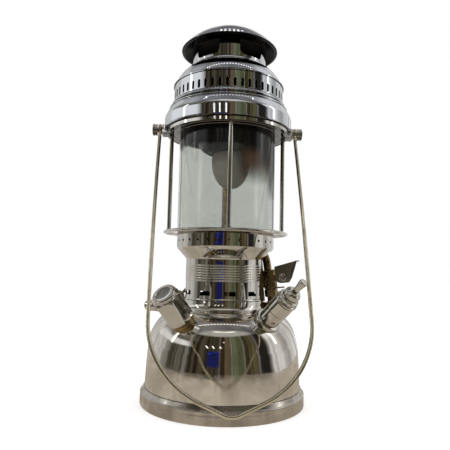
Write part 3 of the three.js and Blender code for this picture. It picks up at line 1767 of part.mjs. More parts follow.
function controlKnob() {
  const shape = new THREE.Shape();
  for (let i = 0; i < controlKnobTeeth * 2; i += 1) {
    const a = (Math.PI * i) / controlKnobTeeth;
    const radius = controlKnobRadius - (i % 2) * controlKnobToothDepth;
    if (i === 0) shape.moveTo(radius * Math.cos(a), radius * Math.sin(a));
    else shape.lineTo(radius * Math.cos(a), radius * Math.sin(a));
  }
  shape.closePath();
  const rim = shifted(slab(shape, controlKnobWidth), 0, 0, knobFace - controlKnobWidth);
  const start = knobFace - controlKnobWidth - controlKnobHubRise;
  const hub = rod(controlKnobHubRadius, start, knobFace + controlKnobHubRise, smallSides);
  const bore = rod(spindleRadius + seatGap, start - overrun, start + controlKnobBoreDepth, fineSides);
  return rim.add(hub).subtract(bore);
}

const knobStart = knobFace - controlKnobWidth - controlKnobHubRise;

add('control_spindle', 'steel', rod(
  spindleRadius,
  spindleInset,
  knobStart + controlKnobBoreDepth - seatGap,
  fineSides,
), spindleGroup);
add('spindle_gland_nut', 'brass', hexBar(
  spindleGlandAcrossFlats,
  spindleSeat,
  spindleSeat + spindleGlandLength,
).subtract(rod(spindleRadius + runningGap, 0, knobFace, fineSides)), spindleGroup);
add('control_knob', 'nickel', controlKnob(), spindleGroup);

export default lantern;
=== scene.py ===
"""Kerosene pressure lantern: finer pieces over the CAD frame, materials, light and camera.

Lengths in this script are millimetres, and heights are counted from the table under the
foot, as in the CAD source. The frame is in metres with its origin on the tank's underside,
so every piece is lowered by BASE and scaled by MM. Azimuth 0 looks out of the front (-Y)
and grows towards +X.
"""

import json
import math

import bmesh
import bpy
from mathutils import Matrix, Vector, noise


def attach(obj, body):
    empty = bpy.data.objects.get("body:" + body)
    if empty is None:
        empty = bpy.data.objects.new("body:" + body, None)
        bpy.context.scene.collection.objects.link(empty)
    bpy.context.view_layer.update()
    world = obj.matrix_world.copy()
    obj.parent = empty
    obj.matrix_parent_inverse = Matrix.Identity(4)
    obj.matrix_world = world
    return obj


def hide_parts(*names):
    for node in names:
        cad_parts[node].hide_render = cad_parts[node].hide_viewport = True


MM = 0.001
BASE = 3.0
# Sides of a turned piece, by its size
FINE, MEDIUM, SMALL = 128, 64, 32
# Directions of the fittings and of the camera, in degrees
FILLER_TURN, PUMP_TURN, PREHEATER_TURN, SPINDLE_TURN, CAMERA_TURN = -38.7, 38.3, 85.5, -117, -2.7
# The control spindle's way through the collar, the bail's pivots and the reach and radius of its wire
SPINDLE_EXIT, PIVOT, EYE_REACH, WIRE = 118, 287, 73.95, 1.85

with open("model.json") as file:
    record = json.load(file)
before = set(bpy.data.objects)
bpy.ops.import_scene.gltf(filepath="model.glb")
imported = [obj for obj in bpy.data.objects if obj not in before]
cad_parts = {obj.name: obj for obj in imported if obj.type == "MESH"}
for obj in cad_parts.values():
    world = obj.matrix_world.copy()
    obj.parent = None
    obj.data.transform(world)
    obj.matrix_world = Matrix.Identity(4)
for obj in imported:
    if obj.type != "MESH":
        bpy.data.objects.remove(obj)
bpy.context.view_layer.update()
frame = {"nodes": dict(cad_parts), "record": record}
record = frame["record"]
BODY_OF = {n: b for b, nodes in record["behaviour"]["bodies"].items() for n in nodes}
SLOT_OF = {row["node"]: row["material_slot"] for row in record["subparts"]}


def add_object(name, data):
    obj = bpy.data.objects.new(name, data)
    bpy.context.scene.collection.objects.link(obj)
    return obj


# Camera: at the photograph's viewing angle, fitted to the lantern's outlines.
def add_camera():
    focal_px, frame_px, sensor = 474.835, 450, 36.0
    pitch, roll, turn = math.radians(4.933), math.radians(1.326), math.radians(CAMERA_TURN)
    distance, height, aside = 512.637, 140.332, -0.694
    right = Vector((1, 0, 0))
    ahead = Vector((0, math.cos(pitch), math.sin(pitch)))
    up = Vector((0, -math.sin(pitch), math.cos(pitch)))
    x = right * math.cos(roll) + up * math.sin(roll)
    y = up * math.cos(roll) - right * math.sin(roll)
    basis = Matrix((x, y, -ahead)).transposed()
    data = bpy.data.cameras.new("camera")
    data.sensor_width = sensor
    data.lens = focal_px / frame_px * sensor
    data.clip_start = 0.01
    camera = add_object("camera", data)
    around = Matrix.Rotation(turn, 4, "Z")
    place = Matrix.Translation(Vector((aside, -distance, height - BASE)) * MM)
    camera.matrix_world = around @ place @ basis.to_4x4()
    bpy.context.scene.camera = camera


add_camera()


class Graph:
    """The nodes of one material or of the world, with short calls for those used most."""

    def __init__(self, tree):
        self.nodes, self.links = tree.nodes, tree.links

    def feed(self, socket, value):
        """Links a socket to an output, or sets its value; a colour gets an alpha of 1."""
        if isinstance(value, bpy.types.NodeSocket):
            self.links.new(value, socket)
        elif isinstance(value, tuple) and socket.type == "RGBA":
            socket.default_value = (*value, 1.0)
        else:
            socket.default_value = value

    def fill(self, node, **values):
        """Feeds a node's inputs by name, where _ stands for a blank."""
        for name, value in values.items():
            self.feed(node.inputs[name.replace("_", " ")], value)
        return node

    def node(self, kind, **values):
        return self.fill(self.nodes.new(kind), **values)

    def noise(self, scale, detail=3.0, roughness=0.5, distortion=0.0, stretch=None):
        source = self.node("ShaderNodeTexCoord").outputs["Object"]
        if stretch:
            source = self.node("ShaderNodeMapping", Scale=stretch, Vector=source).outputs["Vector"]
        texture = self.node("ShaderNodeTexNoise", Scale=scale, Detail=detail, Roughness=roughness,
                            Distortion=distortion, Vector=source)
        return texture.outputs["Fac"]

    def ramp(self, source, low, high, out_low=0.0, out_high=1.0):
        """Goes softly from out_low to out_high while the source goes from low to high."""
        node = self.node("ShaderNodeMapRange", Value=source, From_Min=low, From_Max=high,
                         To_Min=out_low, To_Max=out_high)
        node.interpolation_type = "SMOOTHSTEP"
        return node.outputs["Result"]

    def blend(self, factor, low, high):
        """One colour where the factor is 0 and another where it is 1."""
        node = self.nodes.new("ShaderNodeMix")
        node.data_type = "RGBA"
        self.feed(node.inputs["Factor"], factor)
        for name, value in (("A", low), ("B", high)):
            self.feed([s for s in node.inputs if s.name == name and s.type == "RGBA"][0], value)
        return [s for s in node.outputs if s.type == "RGBA"][0]

    def math(self, operation, *values):
        node = self.nodes.new("ShaderNodeMath")
        node.operation = operation
        for socket, value in zip(node.inputs, values):
            self.feed(socket, value)
        return node.outputs["Value"]

    def chain(self, operation, result, *others):
        for value in others:
            result = self.math(operation, result, value)
        return result

    def product(self, *values):
        return self.chain("MULTIPLY", *values)

    def total(self, *values):
        return self.chain("ADD", *values)

    def most(self, *values):
        return self.chain("MAXIMUM", *values)

    def between(self, source, low, high, soft):
        """1 between two values, with soft ends."""
        rise = self.ramp(source, low - soft, low + soft)
        return self.product(rise, self.ramp(source, high + soft, high - soft))

    def split(self, vector):
        node = self.node("ShaderNodeSeparateXYZ", Vector=vector)
        return [node.outputs[axis] for axis in "XYZ"]

    def place(self):
        """x, y and z in the frame, in metres."""
        return self.split(self.node("ShaderNodeTexCoord").outputs["Object"])

    def facing(self):
        """x, y and z of the direction that the surface faces."""
        return self.split(self.node("ShaderNodeNewGeometry").outputs["Normal"])

    def inward(self):
        """1 where a hollow shell faces the lantern's axis, or down from the cap."""
        out_x, out_y, out_z = self.facing()
        x, y, z = self.place()
        wall = self.ramp(self.total(self.product(x, out_x), self.product(y, out_y)), -0.002, -0.006)
        under = self.product(self.ramp(out_z, -0.15, -0.35), self.ramp(z, 0.3715, 0.3725))
        return self.most(wall, under)

    def length(self, x, y):
        return self.math("SQRT", self.total(self.product(x, x), self.product(y, y)))

    def bump(self, shader, source, strength, distance):
        node = self.node("ShaderNodeBump", Strength=strength, Distance=distance, Height=source)
        self.fill(shader, Normal=node.outputs["Normal"])

    def surface(self, factor, low, high):
        """Shows one shader where the factor is 0 and another where it is 1."""
        mix = self.node("ShaderNodeMixShader", Fac=factor)
        self.feed(mix.inputs[1], low)
        self.feed(mix.inputs[2], high)
        self.fill(self.nodes["Material Output"], Surface=mix.outputs["Shader"])


def new_material(name, **values):
    """A material, its graph and its main shader with these inputs."""
    material = bpy.data.materials.new(name)
    material.use_nodes = True
    g = Graph(material.node_tree)
    return material, g, g.fill(g.nodes["Principled BSDF"], **values)


# Plated metal: a slightly uneven mirror with smudges, fine scratches and small stains. Shaded parts
# get painted shade on surfaces that face down; sooted ones get soot and painted shade inside, and
# bored ones painted shade also on the walls of their holes.
def plated(name, color, stain, rough, wave=0.0, stain_amount=0.35, soot_and_shade=False, shaded=False,
           bored=False):
    material, g, shader = new_material(name, Metallic=1.0)
    smudge = g.noise(42, 4, 0.6, 0.4)
    color = g.blend(g.ramp(smudge, 0.5, 0.78, 0.0, stain_amount), color, stain)
    color = g.blend(g.ramp(g.noise(260, 3, 0.7), 0.64, 0.72, 0.0, 0.5), color, stain)
    dull = g.ramp(smudge, 0.35, 0.75, *rough)
    x, y, z = g.place()
    if shaded:
        # painted shade: surfaces facing down, high on the lantern, take a dark colour made from the stain
        under = g.product(g.ramp(g.facing()[2], -0.3, -0.7), g.ramp(z, 0.270, 0.274))
        color = g.blend(under, color, tuple(0.28 * c for c in stain))
    if soot_and_shade:
        # soot and painted shade: inner walls and the underside of the cap go near black
        inside = g.inward()
        if bored:
            # painted shade also on the walls of the holes and slots, and on the inner faces behind them
            radius = g.length(x, y)
            upper = g.product(g.ramp(radius, 0.0516, 0.0513), g.ramp(z, 0.1575, 0.158))
            inside = g.most(inside, upper, g.ramp(radius, 0.0411, 0.0408))
        color = g.blend(inside, color, (0.012, 0.010, 0.009))
        dull = g.most(dull, g.product(inside, 0.35))
    height = g.noise(900, 2, 0.6, 0.0, (1, 1, 0.15))
    if wave:
        height = g.total(g.product(g.noise(34, 1, 0.4), wave), height)
    g.fill(shader, Base_Color=color, Roughness=dull)
    g.bump(shader, height, 0.12, 0.00006)
    return material


def satin(name, color, stain, rough):
    material, g, shader = new_material(name, Metallic=1.0)
    blotch = g.noise(48, 3, 0.55, 0.2, (1, 1, 0.45))
    g.fill(shader, Base_Color=g.blend(g.ramp(blotch, 0.35, 0.68), color, stain),
           Roughness=g.ramp(blotch, 0.3, 0.7, *rough))
    g.bump(shader, g.noise(700, 3, 0.6, 0.0, (1, 1, 0.2)), 0.18, 0.00005)
    return material


# The tank is a mirror all over, with cloudy smudges, and duller on the lower half of its side
def tank_material():
    material, g, shader = new_material("tank_plating", Metallic=1.0)
    cloud = g.noise(30, 5, 0.62, 0.9, (1, 1, 0.6))
    tint = g.blend(g.ramp(cloud, 0.42, 0.7, 0.0, 0.8), (0.71, 0.675, 0.62), (0.53, 0.49, 0.43))
    tint = g.blend(g.ramp(g.noise(150, 4, 0.65, 0.5), 0.6, 0.78, 0.0, 0.35), tint, (0.34, 0.29, 0.23))
    below = g.ramp(g.place()[2], 0.0408, 0.0400)
    dull = g.product(below, g.ramp(cloud, 0.3, 0.7, 0.02, 0.16))
    g.fill(shader, Base_Color=tint, Roughness=g.total(g.ramp(cloud, 0.4, 0.75, 0.03, 0.12), dull))
    grain = g.total(g.product(g.noise(26, 1, 0.4), 0.8), g.noise(800, 3, 0.6, 0.0, (1, 1, 0.2)))
    g.bump(shader, grain, 0.1, 0.00006)
    return material


# Aged brass: golden where handled, brown in the recesses
def brass_material(name, dark, rough):
    material, g, shader = new_material(name, Metallic=1.0)
    patina = g.noise(120, 5, 0.65, 0.6)
    tint = g.blend(g.ramp(patina, 0.38, 0.64, 0.0, dark), (0.44, 0.32, 0.15), (0.12, 0.08, 0.04))
    g.fill(shader, Base_Color=tint, Roughness=g.ramp(patina, 0.3, 0.7, *rough))
    g.bump(shader, g.noise(520, 3, 0.6), 0.25, 0.00008)
    return material


# Steel tinted by heat, with soot
def heat_material():
    material, g, shader = new_material("heat_steel", Metallic=0.85)
    flow = g.noise(55, 4, 0.6, 0.8)
    tint = g.blend(g.ramp(flow, 0.35, 0.65), (0.04, 0.034, 0.03), (0.012, 0.0105, 0.0095))
    g.fill(shader, Base_Color=tint, Roughness=g.ramp(flow, 0.3, 0.7, 0.35, 0.7))
    g.bump(shader, g.noise(600), 0.3, 0.0001)
    return material


# Lamp glass: grey-green, with brown soot over the middle and right and dark streaks at the edge
def lamp_glass_material():
    material, g, shader = new_material("lamp_glass", Base_Color=(0.68, 0.70, 0.667), Roughness=0.02,
                                       IOR=1.47, Transmission_Weight=1.0)
    x, y, z = g.place()
    drift = g.noise(30, 4, 0.6, 0.8)
    streak = g.noise(75, 4, 0.6, 0.4, (1, 1, 0.16))
    edge = g.total(z, g.product(g.math("SUBTRACT", drift, 0.5), 0.012))
    rim = g.ramp(edge, 0.2575, 0.264, 0.0, 0.96)
    brown = g.product(g.ramp(x, 0.004, 0.022), g.ramp(edge, 0.214, 0.248, 0.0, 0.95))
    strands = g.product(g.ramp(x, 0.036, 0.046), g.ramp(streak, 0.42, 0.6),
                        g.ramp(edge, 0.2, 0.235, 0.0, 0.9))
    dark = g.most(g.product(g.ramp(x, 0.028, 0.036), g.ramp(edge, 0.232, 0.252, 0.0, 0.88)), strands)
    soot = g.product(g.most(rim, brown, dark), g.ramp(y, 0.02, -0.004))
    deep = g.most(dark, g.ramp(edge, 0.246, 0.262))
    film = g.node("ShaderNodeBsdfPrincipled", Roughness=0.15, Specular_IOR_Level=0.4,
                  Base_Color=g.blend(deep, (0.062, 0.040, 0.026), (0.005, 0.0045, 0.0045)))
    haze = g.ramp(drift, 0.3, 0.7, 0.01, 0.04)
    g.surface(g.most(soot, haze), shader.outputs["BSDF"], film.outputs["BSDF"])
    return material


def clear_glass_material():
    material, g, shader = new_material("gauge_glass", Base_Color=(0.96, 0.97, 0.97), IOR=1.22,
                                       Transmission_Weight=1.0)
    g.fill(shader, Roughness=g.ramp(g.noise(200), 0.4, 0.8, 0.0, 0.04))
    return material


def mantle_material():
    material, g, shader = new_material("mantle_ash", Roughness=0.95)
    coords = g.node("ShaderNodeTexCoord")
    weave = g.node("ShaderNodeTexVoronoi", Scale=900, Vector=coords.outputs["Object"])
    cloud = g.ramp(g.noise(60, 4, 0.6, 0.6), 0.35, 0.7)
    g.fill(shader, Base_Color=g.blend(cloud, (0.86, 0.80, 0.72), (0.68, 0.60, 0.52)))
    g.bump(shader, weave.outputs["Distance"], 0.5, 0.0003)
    return material


def matt(name, color, stain, rough):
    material, g, shader = new_material(name, Roughness=rough)
    g.fill(shader, Base_Color=g.blend(g.ramp(g.noise(160, 4, 0.6), 0.35, 0.7), color, stain))
    g.bump(shader, g.noise(800), 0.3, 0.0001)
    return material


# The gauge's face is light on one side of a slanting line and dark on the other: the dark side is the dial,
# the light side a painted reflection
def gauge_face_material():
    material, g, shader = new_material("gauge_face", Roughness=0.5)
    across, over = Vector((0.7804, -0.6252, 0.0)), Vector((0.4343, 0.5421, 0.7193))
    centre = Vector((-0.0552, -0.0689, 0.1050))
    slant = math.radians(17)
    normal = across * math.cos(slant) - over * math.sin(slant)
    side = -normal.dot(centre)
    for axis, share in zip(g.place(), normal):
        side = g.total(g.product(axis, share), side)
    cloud = g.noise(220)
    # painted reflection: the light side stands in for bright surroundings mirrored in the gauge's glass
    painted_reflection = g.blend(g.ramp(cloud, 0.35, 0.7), (0.60, 0.595, 0.57), (0.46, 0.45, 0.42))
    g.fill(shader, Base_Color=g.blend(g.ramp(side, -0.0002, 0.0002), painted_reflection, (0.05, 0.046, 0.042)))
    g.bump(shader, cloud, 0.2, 0.00003)
    return material


NICKEL, NICKEL_STAIN = (0.62, 0.595, 0.55), (0.34, 0.30, 0.24)
MATERIALS = {
    "chrome_hood": plated("chrome_hood", (0.66, 0.675, 0.70), (0.40, 0.395, 0.40), (0.02, 0.07), 1.0,
                          0.3, soot_and_shade=True, shaded=True),
    "nickel_plate": plated("nickel_plate", NICKEL, NICKEL_STAIN, (0.03, 0.11), 0.6, shaded=True),
    "satin_nickel": satin("satin_nickel", (0.55, 0.51, 0.455), (0.40, 0.365, 0.32), (0.14, 0.3)),
    "aged_brass": brass_material("aged_brass", 0.75, (0.18, 0.42)),
    "wire_steel": plated("wire_steel", (0.66, 0.60, 0.46), (0.30, 0.24, 0.14), (0.12, 0.26),
                         stain_amount=0.5),
    "heat_steel": heat_material(),
    "lamp_glass": lamp_glass_material(),
    "gauge_glass": clear_glass_material(),
    "ceramic": matt("ceramic", (0.55, 0.52, 0.48), (0.25, 0.22, 0.2), 0.85),
    "mantle_ash": mantle_material(),
    "leather": matt("leather", (0.16, 0.09, 0.055), (0.08, 0.045, 0.03), 0.7),
    "gasket_rubber": matt("gasket_rubber", (0.025, 0.024, 0.022), (0.015, 0.014, 0.013), 0.8),
    "gauge_face": gauge_face_material(),
}
TANK = tank_material()
BRIGHT_BRASS = brass_material("bright_brass", 0.5, (0.10, 0.26))
LEVER = plated("lever_plate", (0.34, 0.335, 0.28), (0.16, 0.13, 0.09), (0.2, 0.36), stain_amount=0.7)
COLLAR = plated("collar_plate", NICKEL, NICKEL_STAIN, (0.03, 0.08), 0.6, soot_and_shade=True, bored=True)


# Places of the fittings on the tank
def on_circle(radius, azimuth, height=0.0):
    turn = math.radians(azimuth)
    return Vector((radius * math.sin(turn), -radius * math.cos(turn), height))


def bezier(a, b, c, d, steps):
    curve = []
    for i in range(steps + 1):
        t = i / steps
        u = 1 - t
        shares = u**3, 3 * u * u * t, 3 * u * t * t, t**3
        curve.append(tuple(sum(k * v for k, v in zip(shares, axis)) for axis in zip(a, b, c, d)))
    return curve


def arc(x, z, radius, start, end, steps=6):
    turns = [math.radians(start + (end - start) * i / steps) for i in range(steps + 1)]
    return [(x + radius * math.cos(a), z + radius * math.sin(a)) for a in turns]


def circle(radius, sides=16):
    steps = [2 * math.pi * i / sides for i in range(sides)]
    return [(radius * math.cos(a), radius * math.sin(a)) for a in steps]


SHOULDER = bezier((78.3, 58), (77.5, 76), (66, 93), (48, 95), 24)


def shoulder_height(radius):
    for (r0, z0), (r1, z1) in zip(SHOULDER, SHOULDER[1:]):
        if r1 <= radius <= r0:
            return z0 + (r0 - radius) / (r0 - r1) * (z1 - z0)
    return 95.0


def frame_of(origin, across, along):
    """A fitting's frame: its z runs along the fitting."""
    turned = Matrix((across, along.cross(across), along)).transposed()
    return Matrix.Translation(origin) @ turned.to_4x4()


def fitting_frame(origin, azimuth, elevation):
    a, e = math.radians(azimuth), math.radians(elevation)
    along = Vector((math.sin(a) * math.cos(e), -math.cos(a) * math.cos(e), math.sin(e)))
    return frame_of(origin, Vector((math.cos(a), math.sin(a), 0)), along)


def axis_frame(origin, axis):
    along = axis.normalized()
    return frame_of(origin, Vector((0, 0, 1)).cross(along).normalized(), along)


def on_shoulder(radius, azimuth, elevation):
    return fitting_frame(on_circle(radius, azimuth, shoulder_height(radius)), azimuth, elevation)


FILLER = on_shoulder(66, FILLER_TURN, 44)
PUMP = on_shoulder(64, PUMP_TURN, 41)
PREHEATER = on_shoulder(52.6, PREHEATER_TURN, 96.5)
COLUMN_FOOT = on_circle(25, 175)
COLUMN = Matrix.Translation(COLUMN_FOOT)
UPRIGHT = Matrix.Identity(4)
# Stands a drawn outline upright, facing the side
ON_EDGE = Matrix(((0, 0, 1, 0), (1, 0, 0, 0), (0, 1, 0, 0), (0, 0, 0, 1)))
TO_FRAME = Matrix.Scale(MM, 4) @ Matrix.Translation((0, 0, -BASE))


# Mesh helpers: lengths are millimetres in a fitting's frame
def make(name, verts, faces, place=UPRIGHT):
    mesh = bpy.data.meshes.new(name)
    mesh.from_pydata([tuple(TO_FRAME @ place @ Vector(v)) for v in verts], [], faces)
    work = bmesh.new()
    work.from_mesh(mesh)
    bmesh.ops.remove_doubles(work, verts=work.verts, dist=1e-7)
    bmesh.ops.recalc_face_normals(work, faces=work.faces)
    work.to_mesh(mesh)
    work.free()
    return add_object(name, mesh)


def lathe(name, profile, place=UPRIGHT, sides=FINE, shift=None):
    """A turned piece; shift may move each point's radius."""
    verts, faces = [], []
    count = len(profile)
    for i in range(sides):
        turn = 2 * math.pi * i / sides
        for r, z in profile:
            if shift:
                r = shift(r, z, turn)
            verts.append((r * math.sin(turn), -r * math.cos(turn), z))
    open_ended = profile[0][0] == 0 and profile[-1][0] == 0
    rows = count - 1 if open_ended else count
    for i in range(sides):
        j = (i + 1) % sides
        for k in range(rows):
            m = (k + 1) % count
            ring = [i * count + k, j * count + k, j * count + m, i * count + m]
            if profile[k][0] == 0:
                ring.remove(j * count + k)
            if profile[m][0] == 0:
                ring.remove(j * count + m)
            faces.append(ring)
    return make(name, verts, faces, place)


def rod(name, radius, low, high, place, sides=SMALL):
    return lathe(name, [(0, low), (radius, low), (radius, high), (0, high)], place, sides)


def prism(name, outline, low, high, place=UPRIGHT):
    count = len(outline)
    verts = [(x, y, low) for x, y in outline] + [(x, y, high) for x, y in outline]
    faces = [list(range(count))[::-1], list(range(count, 2 * count))]
    faces += [[i, (i + 1) % count, count + (i + 1) % count, count + i] for i in range(count)]
    return make(name, verts, faces, place)


def tube_along(name, path, radius, sides=16, inner=0.0):
    """A round tube along a smooth path, its section carried without twist."""
    tangents = []
    for i in range(len(path)):
        a, b = path[max(i - 1, 0)], path[min(i + 1, len(path) - 1)]
        tangents.append((b - a).normalized())
    side = Vector((0, 0, 1)).cross(tangents[0])
    if side.length < 0.1:
        side = Vector((0, 1, 0)).cross(tangents[0])
    side.normalize()
    rings = []
    for point, tangent in zip(path, tangents):
        side = (side - tangent * side.dot(tangent)).normalized()
        over = tangent.cross(side)
        rings.append((point, side, over))
    verts, faces = [], []

    def skin(r, flip):
        start = len(verts)
        for point, across, over in rings:
            for k in range(sides):
                a = 2 * math.pi * k / sides
                verts.append(point + across * (r * math.cos(a)) + over * (r * math.sin(a)))
        for i in range(len(rings) - 1):
            for k in range(sides):
                m = (k + 1) % sides
                here, there = start + i * sides, start + (i + 1) * sides
                quad = [here + k, here + m, there + m, there + k]
                faces.append(quad[::-1] if flip else quad)
        return start

    outer = skin(radius, False)
    last = (len(rings) - 1) * sides
    if inner:
        hollow = skin(inner, True)
        for base in (0, last):
            for k in range(sides):
                m = (k + 1) % sides
                faces.append([outer + base + k, outer + base + m, hollow + base + m, hollow + base + k])
    else:
        faces.append([outer + k for k in range(sides)][::-1])
        faces.append([outer + last + k for k in range(sides)])
    return name, verts, faces


def boolean(obj, tools, operation="DIFFERENCE"):
    """Cuts or joins tools with obj, bakes the result and removes the tools."""
    for tool in tools:
        modifier = obj.modifiers.new("cut", "BOOLEAN")
        modifier.operation = operation
        modifier.solver = "EXACT"
        modifier.object = tool
    bpy.context.view_layer.update()
    depsgraph = bpy.context.evaluated_depsgraph_get()
    result = bpy.data.meshes.new_from_object(obj.evaluated_get(depsgraph))
    obj.modifiers.clear()
    obj.data = result
    for tool in tools:
        bpy.data.objects.remove(tool)
    return obj


def joined(objects):
    """One object of several that don't touch each other."""
    work = bmesh.new()
    for obj in objects:
        work.from_mesh(obj.data)
    mesh = bpy.data.meshes.new("tool")
    work.to_mesh(mesh)
    work.free()
    for obj in objects:
        bpy.data.objects.remove(obj)
    return add_object("tool", mesh)


def dress(obj, node, material=None, bevel=0.25, angle=32, steps=2):
    """Finishes a piece and lets it stand for a CAD node."""
    for polygon in obj.data.polygons:
        polygon.use_smooth = True
    obj.data.set_sharp_from_angle(angle=math.radians(angle))
    if bevel:
        edge = obj.modifiers.new("edge", "BEVEL")
        edge.width = bevel * MM
        edge.segments = steps
        edge.limit_method = "ANGLE"
        edge.angle_limit = math.radians(angle)
        edge.harden_normals = True
        edge.miter_outer = "MITER_ARC"
    obj.data.materials.clear()
    obj.data.materials.append(material or MATERIALS[SLOT_OF[node]])
    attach(obj, BODY_OF[node])
    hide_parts(node)


def hexagon(across_flats):
    corner = across_flats / math.sqrt(3)
    return arc(0, 0, corner, 30, 330, 5)


def nut(name, across_flats, low, high, chamfer, place, bore):
    corner = across_flats / math.sqrt(3)
    inner = across_flats / 2 - chamfer * 0.134
    turned = lathe("turned", [
        (0, low), (inner, low), (corner + chamfer / 2, low + chamfer),
        (corner + chamfer / 2, high - chamfer), (inner, high), (0, high),
    ], place, MEDIUM)
    piece = boolean(prism(name, hexagon(across_flats), low, high, place), [turned], "INTERSECT")
    return boolean(piece, [rod("bore", bore, low - 3, high + 3, place)])


# Tank with a few shallow dents in its shoulder, more of them at the sides
def dented(r, z, turn):
    low, high, depth = 46, 96, 1.0
    if low < z < high and r > 40:
        rise = math.sin(math.pi * (z - low) / (high - low))
        swell = noise.noise(Vector((math.sin(turn) * 2.9, math.cos(turn) * 2.9, z / 15)))
        return r - depth * max(0.0, swell) * rise * (0.1 + math.sin(turn) ** 2)
    return r


wall, under_shoulder = 1.2, 75
outside = [(80.5, 17), (80.3, 25), (80.0, 33), (79.65, 40), (79.25, 46), (78.8, 52)] + SHOULDER
outside += [(45.6, 96), (43.9, 98.2), (42.9, 101), (42.5, 105)]
inside = [(r - wall, z - (1.0 if z > under_shoulder else 0.0)) for r, z in outside[:-1]][::-1]
deck = [(40.2, 105), (40.1, 102), (0, 102), (0, 100.8), (41.3, 100.8)]
tank = lathe("tank", outside + deck + inside, shift=dented)
boolean(tank, [rod("bore", 10.2, -14, 12, PUMP, MEDIUM)])
dress(tank, "tank_shell", material=TANK, bevel=0.3)

foot = lathe("foot", [
    (81.5, 0.5), (82, 0), (84.4, 0), (84.85, 0.2), (85, 0.6), (85, 7.2), (84.85, 8.4), (84.5, 10.4),
] + arc(84.15, 11.7, 0.82, -55, 60) + [
    (83.7, 12.9), (82.9, 14.6), (82, 16.7), (80.6, 16.7), (83.4, 7.5), (83.4, 1.5), (81.5, 1.5),
])
dress(foot, "foot_ring", bevel=0.15)

# Filler neck, cap, gauge and vent screw
CAP_LOW, CAP_HIGH = 5.6, 37.2
neck_profile = [(7.5, -9), (10.3, -9), (10.3, -0.6)]
for radius, height in ((10.3, 0.4), (10.3, 2.4), (10.1, 4.4)):
    neck_profile += arc(radius, height, 0.9, -70, 70, 5)
neck_profile += [(10.1, 5.5), (10.1, 9), (7.5, 9)]
neck = lathe("filler_neck_ring", neck_profile, FILLER, MEDIUM)
dress(neck, "filler_neck", material=BRIGHT_BRASS, bevel=0.1)

cap_profile = [(0, CAP_LOW), (11.7, CAP_LOW)] + arc(11.3, CAP_LOW + 3.4, 3.3, -80, 0, 5)
cap_profile += [(14.6, CAP_HIGH - 6)] + arc(9.2, CAP_HIGH - 5.4, 5.4, 0, 62, 8)
cap_profile += [(11.6, CAP_HIGH), (0, CAP_HIGH)]
turned_end = lathe("turned", cap_profile, FILLER, MEDIUM)
cap = boolean(prism("hexagon_cap", hexagon(25), CAP_LOW, CAP_HIGH, FILLER), [turned_end], "INTERSECT")
VENT = FILLER @ axis_frame(Vector((0, 0, CAP_LOW + 15.4)), Vector((-1, 0, 0)))
boss = lathe("boss", [(0, 0), (5.6, 0), (5.6, 16.4), (4.8, 17.2), (0, 17.2)], VENT, SMALL)
boolean(cap, [boss], "UNION")
boolean(cap, [joined([
    rod("recess", 9.6, CAP_HIGH - 6, CAP_HIGH + 3, FILLER, MEDIUM),
    rod("skirt", 10.6, 2, 11.2, FILLER, MEDIUM),
    rod("hole", 2.7, 11.9, 20, VENT),
])])
dress(cap, "filler_cap", bevel=1.0, steps=4)

vent = lathe("vent_knob", [
    (0, 12.2), (2.4, 12.2), (2.4, 17.5), (5.2, 17.5), (5.4, 17.9), (5.4, 20), (5.0, 20.8), (5.4, 21.6),
    (5.4, 23), (5.4, 31),
] + arc(0.6, 30.2, 4.8, 10, 90, 7) + [(0, 35)], VENT, SMALL)
dress(vent, "vent_screw", bevel=0.15)

bezel = lathe("gauge_rim", [
    (9.6, 37.5), (11.7, 37.5), (11.7, 38.6),
] + arc(10.1, 38.6, 1.6, 0, 90, 5) + [(7.9, 40.2), (7.9, 39.2), (9.6, 39.2)], FILLER, MEDIUM)
dress(bezel, "gauge_bezel", bevel=0.12)
GLASS_EDGE, GLASS_BULGE, GLASS_LOW = 7.6, 2.6, 39.6
bulge = [(GLASS_EDGE * x, GLASS_LOW + GLASS_BULGE * z) for x, z in arc(0, 0, 1, 10, 80, 7)]
dress(lathe("gauge_window", [
    (0, 37.9), (8.3, 37.9), (8.3, 36.2), (9.3, 36.2), (9.3, 38.9), (GLASS_EDGE, 38.9),
    (GLASS_EDGE, GLASS_LOW),
] + bulge + [(0, GLASS_LOW + GLASS_BULGE)], FILLER, MEDIUM), "gauge_glass", bevel=0)

# Pump
flange = [(10, -8), (13.4, -8), (13.4, 1.5)] + arc(11.9, 2.3, 1.5, 0, 80, 5) + [(10, 4)]
dress(lathe("pump_flange", flange, PUMP, MEDIUM), "pump_socket", bevel=0.2)
dress(lathe("pump_body", [
    (8.3, -78), (9.7, -78), (9.7, 4.3), (10.3, 4.3), (10.3, 17.4), (10.7, 18.0), (10.7, 31), (8.3, 31),
], PUMP, MEDIUM), "pump_barrel", bevel=0.35)


def knurled(low, high, teeth, depth):
    """Shallow flutes round a turned piece between two heights, on its outer wall."""
    bore = 5

    def shift(r, z, turn):
        fluted = r > bore and low <= z <= high and math.cos(teeth * turn) < 0
        return r - depth if fluted else r

    return shift


